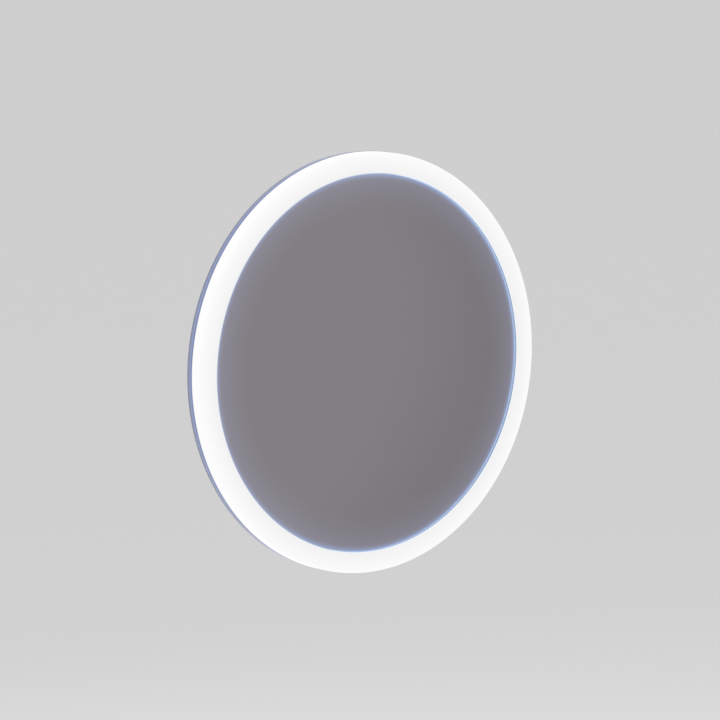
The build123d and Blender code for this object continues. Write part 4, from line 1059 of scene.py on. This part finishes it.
# Wall spacers: knurled wheels on threaded studs, and ribbed rubber pads
spacers = {"discRadius": 0.0042, "discStart": 0.001, "discEnd": 0.0019, "neckRadius": 0.00295,
           "wheelStart": 0.0029, "wheelEnd": 0.0052, "wheelRadius": 0.008, "wheelEdge": 0.0003, "grips": 18,
           "gripDepth": 0.0007, "studRadius": 0.0025, "threadDepth": 0.0003, "pitch": 0.0008,
           "chamfer": 0.0005, "segments": 144}
pads = {"radius": 0.009, "edge": 0.00078, "cavityRadius": 0.0043, "mouthRadius": 0.00305, "floor": 0.0009,
        "cavityEnd": 0.002, "grooves": (0.0022, 0.0038, 0.0054, 0.007), "grooveWidth": 0.0004,
        "grooveDepth": 0.0003, "segments": 64}


def gripWave(angle, place):
    # Round notches in a wheel's rim
    share = (angle * spacers["grips"] / (2 * math.pi)) % 1
    across = min(share, 1 - share) / 0.2
    return -spacers["gripDepth"] * math.sqrt(max(0, 1 - across * across))


def makeStud(side):
    node = side + "_foot_stud"
    low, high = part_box(node)
    size, end = spacers, -low.y
    edge = size["wheelEdge"]
    wave = threadWave(size["threadDepth"], size["pitch"])
    profile = [(0, size["discStart"]), (size["discRadius"] - 0.0002, size["discStart"]),
               (size["discRadius"], size["discStart"] + 0.0002), (size["discRadius"], size["discEnd"]),
               (size["neckRadius"], size["discEnd"]), (size["neckRadius"], size["wheelStart"]),
               (size["wheelRadius"] * 0.85, size["wheelStart"]),
               (size["wheelRadius"] - edge, size["wheelStart"], gripWave),
               (size["wheelRadius"], size["wheelStart"] + edge, gripWave),
               (size["wheelRadius"], size["wheelEnd"] - edge, gripWave),
               (size["wheelRadius"] - edge, size["wheelEnd"], gripWave),
               (size["wheelRadius"] * 0.85, size["wheelEnd"]), (size["studRadius"], size["wheelEnd"])]
    profile += threadRings(size["studRadius"], size["wheelEnd"], end - size["chamfer"], size["pitch"], wave)
    profile += [(size["studRadius"] - size["threadDepth"], end - size["chamfer"]),
                (size["studRadius"] - size["chamfer"], end), (0, end)]
    stud = lathe(side + "Stud", profile, size["segments"], closed=False,
                 centre=((low.x + high.x) / 2, (low.z + high.z) / 2))
    dress(stud, node, side + "_stud", "zinc_steel")


def makePad(side):
    node = side + "_foot_pad"
    low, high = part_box(node)
    size, rear, front = pads, -high.y, -low.y
    half = size["grooveWidth"] / 2
    profile = [(0, rear)]
    for radius in size["grooves"]:
        profile += [(radius - half, rear), (radius - half * 0.6, rear + size["grooveDepth"]),
                    (radius + half * 0.6, rear + size["grooveDepth"]), (radius + half, rear)]
    profile += [(size["radius"] - 0.0003, rear), (size["radius"], rear + 0.0003)]
    profile += arcPoints((size["radius"] - size["edge"], front - size["edge"]), size["edge"], 0, 90, 5)
    profile += [(size["mouthRadius"], front), (size["mouthRadius"], size["cavityEnd"]),
                (size["cavityRadius"], size["cavityEnd"]), (size["cavityRadius"], size["floor"]),
                (0, size["floor"])]
    pad = lathe(side + "Pad", profile, size["segments"], closed=False,
                centre=((low.x + high.x) / 2, (low.z + high.z) / 2))
    dress(pad, node, side + "_pad", "rubber")


for side in ("left", "right"):
    makeStud(side)
    makePad(side)
print("clear ring, cover, screws, rivets and wall spacers made")

# Mirror glass: polished faces, a ground and bevelled edge, sunk a hair over the silver so that light meets it first
mirrorGlass = {"bevel": 0.0006, "overlap": 0.00005, "segments": 384}


def makeMirrorGlass():
    front, rear = -glassLow.y, -glassHigh.y - mirrorGlass["overlap"]
    bevel = mirrorGlass["bevel"]
    profile = [(0, front), (glassRadius * 0.5, front), (glassRadius - bevel, front), (glassRadius, front - bevel),
               (glassRadius, rear), (glassRadius * 0.5, rear), (0, rear)]
    glass = lathe("mirrorGlass", profile, mirrorGlass["segments"], closed=False)
    glass.data.materials.append(materials["glass"])
    glass.data.materials.append(groundEdgeMaterial())
    for polygon in glass.data.polygons:
        if abs(polygon.normal.y) < 0.9:
            polygon.material_index = 1
    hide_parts("mirror_glass")
    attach(glass, "mirror")


makeMirrorGlass()

# Silver backing: as wide as the glass, so that no light passes beside it
silverBacking = {"edge": 0.00015, "segments": 384}


def makeSilverBacking():
    low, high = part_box("silver_backing")
    radius = glassRadius - silverBacking["edge"]
    profile = [(0, -low.y), (glassRadius * 0.5, -low.y), (radius, -low.y), (radius, -high.y),
               (glassRadius * 0.5, -high.y), (0, -high.y)]
    backing = lathe("silverBacking", profile, silverBacking["segments"], closed=False)
    backing.data.materials.append(materials["silver"])
    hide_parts("silver_backing")
    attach(backing, "mirror")


makeSilverBacking()
print("ring, clear ring, glass and silver made")

# Studio: pale floor and background, soft lights, and a grey card that only the mirror sees
studio = {
    "floorDrop": 1.2,
    "floorSize": 60.0,
    "floorColour": (0.78, 0.78, 0.78),
    "pale": (0.62, 0.62, 0.62),
    "ambient": 0.8,
    "cardRadius": 4.0,
    "cardTone": (0.238, 0.223, 0.24),
    "cardSpot": (2.085, -3.407, -0.4),
    "cardReach": (0.5, 0.8),
    "cardFall": 0.86,
}


def emissionTree(material, colour):
    tree = material.node_tree
    tree.nodes.clear()
    light = fill(addNode(tree, "ShaderNodeEmission"), Color=(*colour, 1), Strength=1.0)
    out = addNode(tree, "ShaderNodeOutputMaterial")
    tree.links.new(light.outputs[0], out.inputs[0])
    return tree, light


def seesBackground(tree):
    # One for camera, glossy and transmission rays
    path = addNode(tree, "ShaderNodeLightPath")
    both = mathNode(tree, "ADD", path.outputs["Is Camera Ray"], path.outputs["Is Glossy Ray"])
    return mathNode(tree, "ADD", both, path.outputs["Is Transmission Ray"], clamp=True)


def makeWorld():
    world = bpy.data.worlds.new("studio")
    bpy.context.scene.world = world
    world.use_nodes = True
    tree = world.node_tree
    background = tree.nodes["Background"]
    strength = seesBackground(tree)
    ambient = studio["ambient"]
    tone = mixColour(tree, strength, (ambient, ambient, ambient, 1), (*studio["pale"], 1))
    tree.links.new(tone, background.inputs["Color"])


def makeFloor():
    bm = bmesh.new()
    bmesh.ops.create_circle(bm, cap_ends=True, segments=96, radius=studio["floorSize"])
    mesh = bpy.data.meshes.new("floor")
    bm.to_mesh(mesh)
    bm.free()
    floor = meshObject("floor", mesh)
    floor.location = (0, 0, mirrorZ - studio["floorDrop"])
    material, tree, shader, coordinates = newMaterial("pale_floor", Roughness=0.9, Base_Color=(*studio["floorColour"], 1))
    floor.data.materials.append(material)


def makeCard():
    # Half a dome in front of the mirror
    bm = bmesh.new()
    bmesh.ops.create_uvsphere(bm, u_segments=64, v_segments=32, radius=studio["cardRadius"])
    behind = [vertex for vertex in bm.verts if vertex.co.y > 0.01]
    bmesh.ops.delete(bm, geom=behind, context="VERTS")
    mesh = bpy.data.meshes.new("card")
    bm.to_mesh(mesh)
    bm.free()
    card = meshObject("card", mesh)
    card.location = mirrorCentre
    material = bpy.data.materials.new("greyCard")
    material.use_nodes = True
    tree, light = emissionTree(material, studio["cardTone"])
    coordinates = addNode(tree, "ShaderNodeTexCoord").outputs["Object"]
    distance = addNode(tree, "ShaderNodeVectorMath", operation="DISTANCE")
    tree.links.new(coordinates, distance.inputs[0])
    distance.inputs[1].default_value = studio["cardSpot"]
    near, far = studio["cardReach"]
    fall = fill(addNode(tree, "ShaderNodeMapRange", interpolation_type="SMOOTHSTEP"), From_Min=near, From_Max=far,
                To_Min=1.0, To_Max=studio["cardFall"])
    tree.links.new(distance.outputs["Value"], fall.inputs["Value"])
    tree.links.new(fall.outputs[0], light.inputs["Strength"])
    card.data.materials.append(material)
    card.visible_camera = False
    card.visible_diffuse = False
    card.visible_shadow = False
    card.visible_volume_scatter = False


def makeLight(name, offset, size, power, colour=(1, 1, 1)):
    data = bpy.data.lights.new(name, "AREA")
    data.shape = "RECTANGLE"
    data.size, data.size_y = size
    data.energy = power
    data.color = colour
    lamp = bpy.data.objects.new(name, data)
    lamp.location = mirrorCentre + Vector(offset)
    lamp.rotation_euler = (-Vector(offset)).to_track_quat("-Z", "Y").to_euler()
    lamp.visible_glossy = False
    bpy.context.scene.collection.objects.link(lamp)


makeWorld()
makeFloor()
makeCard()
makeLight("key", (-1.8, -1.6, 1.9), (1.6, 1.2), 26.0)
makeLight("fill", (2.2, -1.8, 0.9), (1.8, 1.4), 14.0)
makeLight("rear", (0.6, 2.2, 1.5), (2.0, 1.4), 24.0)
bpy.context.scene.view_settings.view_transform = "Standard"
print("studio made")
